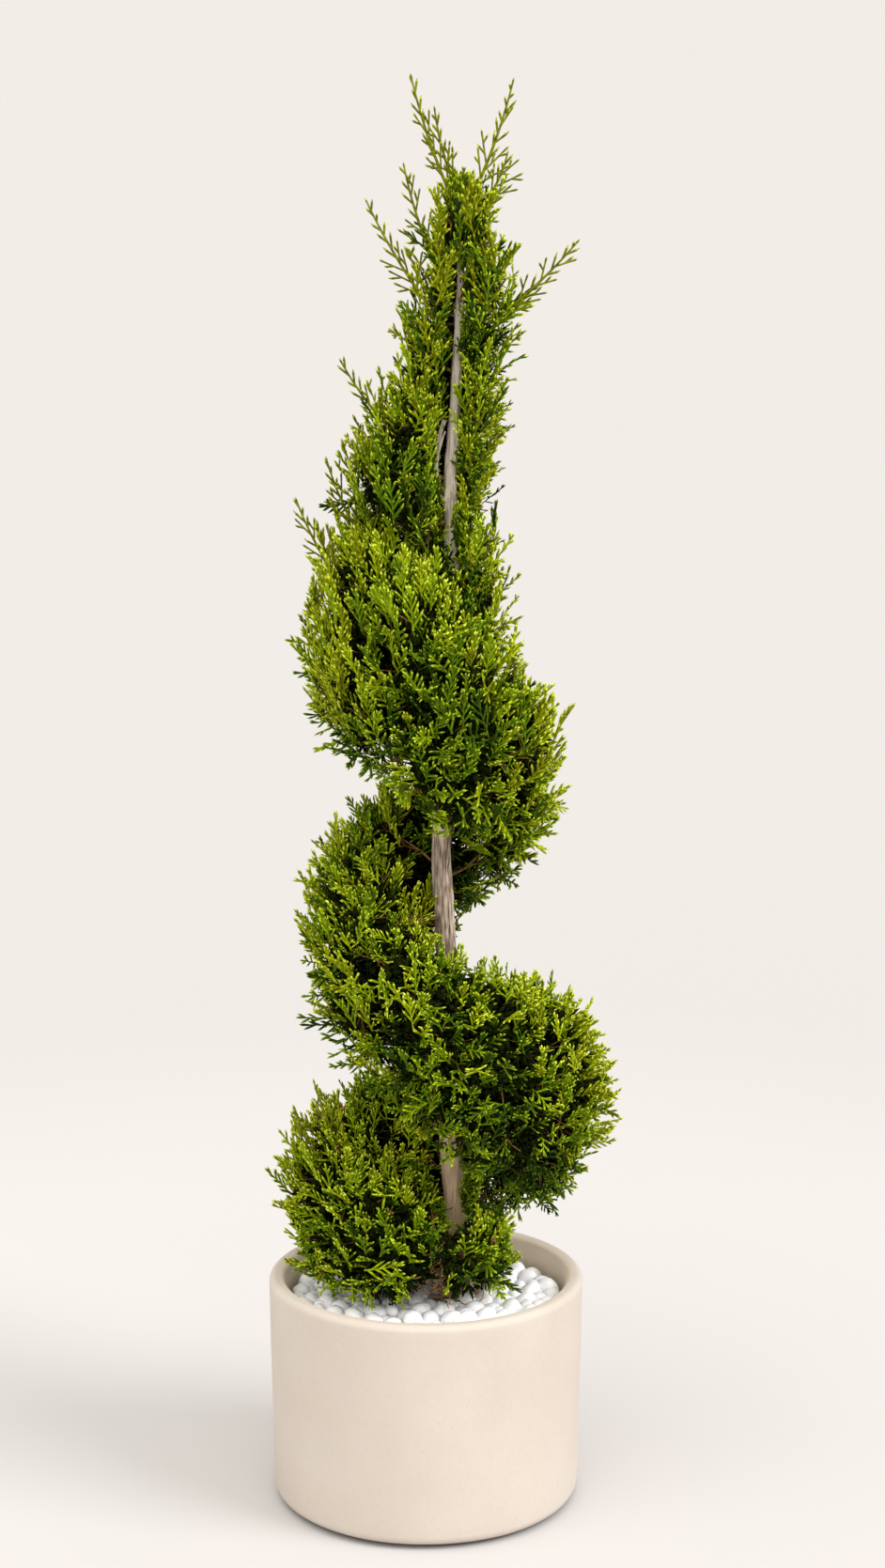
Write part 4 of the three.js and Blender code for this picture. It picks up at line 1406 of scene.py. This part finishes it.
def aimSprays(part, facing, radial, fork, middles, owner, kindPlaces, chance):
    # A spray points out and up as its part and its kind ask, spreads from the others of its clump and
    # leans with them. Under the left side some hang.
    habit = habits[part]
    count = len(facing)
    outward = facing.copy()
    outward[:, 2] *= np.where(facing[:, 2] < 0, growth["drop"], 1.0)
    always, onTops, toRight = growth["rise"]
    rise = np.clip(always + onTops * facing[:, 2] - toRight * facing[:, 0], *growth["rises"])
    rise = rise[:, None] * (0, 0, 1)
    lean = chance.normal(size=(owner.max() + 1, 3))[owner]
    shape = pickShapes(part, facing, kindPlaces, chance)
    hanging = (facing[:, 2] < -0.3) & (radial[:, 0] < -0.3) & (part in ("high", "middle"))
    hanging &= chance.uniform(size=count) < growth["hangShare"]
    shape[hanging] = chance.integers(*kindPlaces["sprig"], hanging.sum())
    out, up = np.zeros((2, count, 1))
    for kind, (first, last) in kindPlaces.items():
        chosen = (shape >= first) & (shape < last)
        out[chosen], up[chosen] = sprayKinds[kind]["out"], sprayKinds[kind]["up"]
    up[hanging] = 0.1
    order = habit["order"]
    way = unit(habit["out"] * out * (outward + growth["sideways"] * radial) + habit["up"] * up * rise
               + order * growth["fork"] * unit(fork - middles + facing * 0.004)
               + order * growth["lean"] * lean + order * growth["wander"] * chance.normal(size=fork.shape))
    way[hanging] = unit(radial[hanging] + 0.2 * chance.normal(size=(hanging.sum(), 3)) + (0, 0, -0.1))
    return shape, way, hanging


def toneSprays(part, spot, facing, middles, owner, around, deep, stray, chance):
    count = len(spot)
    right, rise = facing[:, 0], facing[:, 2]
    tone = tones["patches"] * np.array([noise.noise(Vector(p) * tones["patchScale"]) for p in middles])
    tone += chance.normal(0, tones["clumps"], owner.max() + 1)[owner]
    tone += chance.normal(0, tones["sprays"], count)
    # painted light and shade: lighter tops, edges and strays, darker undersides, overhung places and deeper
    # sprays
    edge = np.clip((np.abs(right) - tones["edgeFrom"]) / 0.5, 0, 1)
    above = np.where(rise > 0, tones["top"], tones["bottom"]) * rise
    shelter = np.array([shelterOver(around, place, way) for place, way in zip(spot, facing)])
    above += tones["shelter"] * shelter * np.where(rise < -0.2, tones["underside"], 1.0)
    tone += tones["edge"] * edge * np.where(right > 0, tones["rightEdge"], 1.0)
    tone += habits[part]["tone"] + above + tones["all"] + tones["deep"] * deep
    tone[stray] = np.maximum(tone[stray], tones["stray"])
    olive = np.maximum(habits[part]["olive"], tones["edgeOlive"] * edge * (part != "foot"))
    olive *= 0.4 + 0.6 * (tone > -0.1)
    tone[chance.uniform(size=count) < olive] = tones["olive"]
    return tone


def growMass(name, around, line, lengths, kindPlaces, chance):
    part = name.split("_")[1]
    habit = habits[part]
    own = searchTree([name])
    spot, facing = openSurface(name, around, chance)
    count = len(spot)
    deep = chance.uniform(size=count) < growth["deepShare"]
    thick = np.array([depthOf(own, place, way) for place, way in zip(spot, facing)])
    lump = np.array([noise.noise(Vector(p) * growth["lumpScale"]) for p in spot]) * growth["lump"]
    spot += facing * lump[:, None]
    fork = spot - facing * np.minimum(growth["inset"], thick * 0.5)[:, None]
    twigs, lasts, clumps = growTwigs(massStarts(name, fork, line), fork, chance)

    owner = np.unique(clumps, return_inverse=True)[1].ravel()
    total = np.zeros((owner.max() + 1, 3))
    np.add.at(total, owner, fork)
    middles = (total / np.bincount(owner)[:, None])[owner]
    radial = spot - np.array([trunkAt(line, z) for z in spot[:, 2]])
    radial[:, 2] = 0
    away = np.linalg.norm(radial, axis=1)
    radial = unit(radial)
    shape, way, hanging = aimSprays(part, facing, radial, fork, middles, owner, kindPlaces, chance)

    size = chance.uniform(*growth["sizes"], count) * habit["larger"]
    allowed = habit["proud"] * chance.uniform(*growth["proud"], count) * (1 - 0.5 * (facing[:, 2] > 0.6))
    stray = chance.uniform(size=count) < growth["strayShare"]
    allowed[stray] = habit["stray"]
    allowed[hanging] = chance.uniform(*growth["hang"], hanging.sum())
    wanted = lengths[shape] * size * (way * facing).sum(1) - allowed + growth["deeper"] * deep
    least, most = growth["depths"]
    depth = np.clip(wanted, least, np.minimum(most + growth["deeper"] * deep, np.maximum(thick * 0.6, least)))
    size *= np.clip(1 - np.maximum(wanted - depth, 0) / (lengths[shape] * size), growth["leastSize"], 1)
    reach = lengths[shape] * size
    base = spot - facing * depth[:, None] + (middles - fork) * growth["gather"]
    if part in skirt:
        lowest = bedTop + np.interp(away, skirt["away"], skirt[part])
        base[:, 2] = np.maximum(base[:, 2], lowest)
        way[:, 2] = np.maximum(way[:, 2], (lowest - base[:, 2]) / reach)
        way = unit(way)
    tip = base + way * reach[:, None]
    slope = crown["slope"] * np.abs(crownAside(tip, line))
    over = tip[:, 2] - crown["top"] + slope + chance.uniform(0, growth["tipSpread"], count)
    base[:, 2] -= np.maximum(over, 0)

    tone = toneSprays(part, spot, facing, middles, owner, around, deep, stray, chance)
    dead = deep & (chance.uniform(size=owner.max() + 1) < 4 * habit["dead"])[owner]
    bareShare = branching["bareShare"] * (3 if part == "foot" else 1)
    for k in np.nonzero(chance.uniform(size=count) < bareShare)[0]:
        twigs += bareTwig(base[k] + facing[k] * 0.008, way[k], own, chance)
    free = []
    for b, w, r in zip(base, way, reach):
        rooted = isInside(own, b) or own.find_nearest(Vector(b))[3] < 0.004
        held = part != "crown" or crownHolds(b + w * r, line, chance) and chance.uniform() < crown["kept"]
        free.append(rooted and held and not inSlot(b, b + w * r, line, chance))
    twigs += [(place, base[k], wide * 1.2, wide * 0.8) for place, k, wide in lasts if free[k]]
    faceTo = facing * (1, 1, 0.4) + 0.4 * radial
    sprays = [each[free] for each in (base, way, faceTo, size, shape, tone, dead)]
    return sprays, twigs, shadeSpots(name, line, chance)


def makeFoliage(line, shapes, kindPlaces, shades):
    chance = np.random.default_rng(growth["seed"])
    around = searchTree(named("foliage_") + ["trunk"])
    lengths = np.array([max(p[2] for p in shape[1][0]) for shape in shapes])
    found, twigs, shade = [], [], []
    for name in named("foliage_"):
        sprays, more, dark = growMass(name, around, line, lengths, kindPlaces, chance)
        found.append(sprays)
        twigs += more
        shade += dark
    sprays, more = trunkSprays(line, lengths, kindPlaces, chance)
    found.append(sprays)
    twigs += more
    dried = rootTangle(line, chance)
    spread, most, behind, size = slot["back"]
    for z in np.arange(slot["backFrom"], slot["stretches"][-1][1], slot["backStep"]):
        aside = np.clip(chance.normal(0, spread), *most)
        shade.append((trunkAt(line, z) + (aside, chance.uniform(*behind), 0), size))
    base, way, faceTo, size, shape, tone, dead = (np.concatenate(part) for part in zip(*found))
    turn = facedTurns(way, faceTo, chance.normal(0, growth["roll"], len(base)))
    print("sprays:", len(base), "shade tufts:", len(shade))

    skin = barkMaterial("twigBark", *branching["colour"], footBrownLight=0.0)
    finishPiece(newPiece("twigs", *tubesMesh(twigs), skin), "bark", *named("foliage_"))
    skin = barkMaterial("driedBark", *tangle["colour"], footBrownLight=0.0)
    finishPiece(newPiece("rootTwigs", *tubesMesh(dried, 5), skin), "bark", "foliage_foot_front")

    tree = sprayTree()
    bodies = shapeCollection("sprayBody", shapes, 0)
    tips = shapeCollection("sprayTip", shapes, 1)
    lowest = -math.inf
    groups = []
    for name, (older, newer, highest) in leafTones.items():
        groups.append((name, older, newer, ~dead & (tone >= lowest) & (tone < highest)))
        lowest = highest
    groups.append(("dead", *deadColours, dead))
    for name, older, newer, chosen in groups:
        some = [each[chosen] for each in (base, turn, size, shape)]
        placeSprays(f"{name}Growth", some, tree, bodies, leafMaterial(f"{name}Growth", linear(*older)))
        placeSprays(f"{name}Tips", some, tree, tips, leafMaterial(f"{name}Tips", linear(*newer), 0.5))
    clear(bodies)
    clear(tips)

    old = shapeCollection("shadeTuft", shades, 0)
    count = len(shade)
    turn = facedTurns(chance.normal(size=(count, 3)), chance.normal(size=(count, 3)), np.zeros(count))
    places, sizes = (np.array(each) for each in zip(*shade))
    some = (places, turn, sizes, chance.integers(0, len(shades), count))
    # near-black leaves: painted shade
    leaf = leafMaterial("shadeLeaves", linear(*paintedShadeLeaves["colour"]), 0.8, 0.05)
    placeSprays("shadeLeaves", some, tree, old, leaf)
    clear(old)


def facedTurns(way, faceTo, roll):  # turns that bring +Z to the way and +Y as near as it goes to faceTo
    way = unit(way)
    front = unit(faceTo - (faceTo * way).sum(1)[:, None] * way)
    side = np.cross(front, way)
    turned = front * np.cos(roll)[:, None] + side * np.sin(roll)[:, None]
    side = np.cross(turned, way)
    frames = np.stack([side, turned, way], 2)
    return np.array([tuple(Matrix(frame.tolist()).to_quaternion()) for frame in frames])


def placeSprays(name, chosen, tree, shapes, material):
    base, turn, size, shape = chosen
    each = np.array([sum(len(p.vertices) - 2 for p in s.data.polygons) for s in shapes.objects])
    parts = int(np.ceil(each[shape].sum() / growth["mostTriangles"]))
    for part, some in enumerate(np.array_split(np.arange(len(base)), parts)):
        label = name if parts == 1 else f"{name}{part + 1}"
        cloud = bpy.data.meshes.new(label)
        cloud.from_pydata([tuple(p) for p in base[some]], [], [])
        for what, kind, values in (("turn", "QUATERNION", turn), ("size", "FLOAT", size),
                                   ("shape", "INT", shape.astype(np.int32))):
            cloud.attributes.new(what, kind, "POINT").data.foreach_set("value", values[some].ravel())
        piece = bpy.data.objects.new(label, cloud)
        bpy.context.scene.collection.objects.link(piece)
        bake(piece, tree, {"Shapes": shapes, "Leaf": material})
        finishPiece(piece, "foliage", *named("foliage_"))


shoots = {  # long growth that the shears missed
    "seed": 4,
    "stemWidth": 0.0019,
    "taper": (1.2, 0.65),  # of the width at the foot, and how much of it goes by the tip
    "rooted": 0.035,  # how far a stem goes on into the foliage
    "gap": 0.0098,  # between two side twigs
    "twig": (0.040, 0.011),  # length of a side twig, at the foot and at the tip
    "plain": 0.021,  # a side twig shorter than this is one finger
    "spread": 27,  # degrees
    "fingerGap": 0.0100,
    "finger": 0.0150,
    "fingerWidth": 0.0015,
    "fingerTurn": 32,
    "curl": 0.15,
    "tip": 0.011,  # the finger at a stem's end
    "colour": (116, 124, 14),
    "tipColour": (158, 164, 40),
}


def shootLine(name, line):  # the CAD shoot's middle line, from the plant out to its tip
    places = corners(name)
    middle = places.mean(0)
    axis = np.linalg.eigh((places - middle).T @ (places - middle))[1][:, -1]
    along = (places - middle) @ axis
    aside = places - np.array([trunkAt(line, z) for z in places[:, 2]])
    away = np.hypot(aside[:, 0], aside[:, 1]) + places[:, 2]
    if np.corrcoef(along, away)[0, 1] < 0:
        along = -along
    share = (along - along.min()) / (along.max() - along.min())
    curve = np.polyfit(share, places, 2)
    steps = np.linspace(0, 1, 24)[:, None]
    points = curve[0] * steps ** 2 + curve[1] * steps + curve[2]
    foot = points[0] - unit(points[1] - points[0]) * shoots["rooted"]
    return np.vstack([foot, points])


def sideTwig(parts, start, heading, length, flat, chance):
    # a thin twig with fingers by turns; flat is the normal of the plane that it lies in
    across = unit(np.cross(flat, heading))
    count = max(2, int(length / shoots["fingerGap"]))
    width = shoots["fingerWidth"]
    addStem(parts, [start, start + heading * length * 0.85], width * 0.85)
    for k in range(1, count):
        side = 1 if k % 2 else -1
        angle = math.radians(shoots["fingerTurn"] + chance.normal(0, 5))
        way = heading * math.cos(angle) + across * side * math.sin(angle)
        out = shoots["finger"] * (1.05 - 0.4 * k / count) * chance.uniform(0.75, 1.2)
        addFinger(parts, start + heading * length * k / count, way, out, width * 0.95, shoots["curl"])
    addFinger(parts, start + heading * length * 0.8, heading, length * 0.2 + 0.004, width * 0.9, 0.0)


def growSides(parts, points, ahead, flat, chance):  # side twigs by turns along one shoot
    length = np.linalg.norm(np.diff(points, axis=0), axis=1).sum()
    count = int(length / shoots["gap"])
    for k in range(2, count):
        share = (k + chance.uniform(-0.25, 0.25)) / count
        at = share * (len(points) - 1)
        place = np.array([np.interp(at, range(len(points)), points[:, a]) for a in range(3)])
        way = ahead[int(at)]
        across = unit(np.cross(flat, way))
        side = 1 if k % 2 else -1
        angle = math.radians(shoots["spread"] * (1.2 - 0.4 * share) + chance.normal(0, 5))
        heading = way * math.cos(angle) + across * side * math.sin(angle)
        heading = unit(heading + flat * chance.normal(0, 0.15))
        long = np.interp(share, (0, 1), shoots["twig"]) * chance.uniform(0.55, 1.15)
        if long > shoots["plain"]:
            sideTwig(parts, place, heading, long, flat, chance)
        else:
            addFinger(parts, place, heading, long, shoots["fingerWidth"], shoots["curl"])


def makeShoots(line):
    chance = np.random.default_rng(shoots["seed"])
    parts = ([], []), ([], [])
    stems = ([], [])
    wide, taper = shoots["taper"]
    for name in named("shoot_"):
        points = shootLine(name, line)
        ahead = unit(np.gradient(points, axis=0))
        flat = unit(np.array((chance.normal(0, 0.35), -1, chance.normal(0, 0.3))))
        widths = shoots["stemWidth"] * (wide - taper * np.arange(len(points)) / len(points))
        addTube(stems, [ringAt(*each) for each in zip(points, ahead, widths)])
        growSides(parts, points, ahead, flat, chance)
        addFinger(parts, points[-2], ahead[-1], shoots["tip"], shoots["fingerWidth"] * 0.85, 0)
    older = leafMaterial("shootGrowth", linear(*shoots["colour"]))
    newer = leafMaterial("shootTips", linear(*shoots["tipColour"]), 0.5)
    for name, mesh, leaf in (("shootStems", stems, older), ("shootTwigs", parts[0], older),
                             ("shootTips", parts[1], newer)):
        finishPiece(newPiece(name, *mesh, leaf), "shoots", *named("shoot_"))


makeStudio()
makePot()
makeSoil()
makePebbles()
trunk = makeTrunk()
makeBoughs(trunk)
makeSnag()
makeFoliage(trunk, *makeShapes())
makeShoots(trunk)
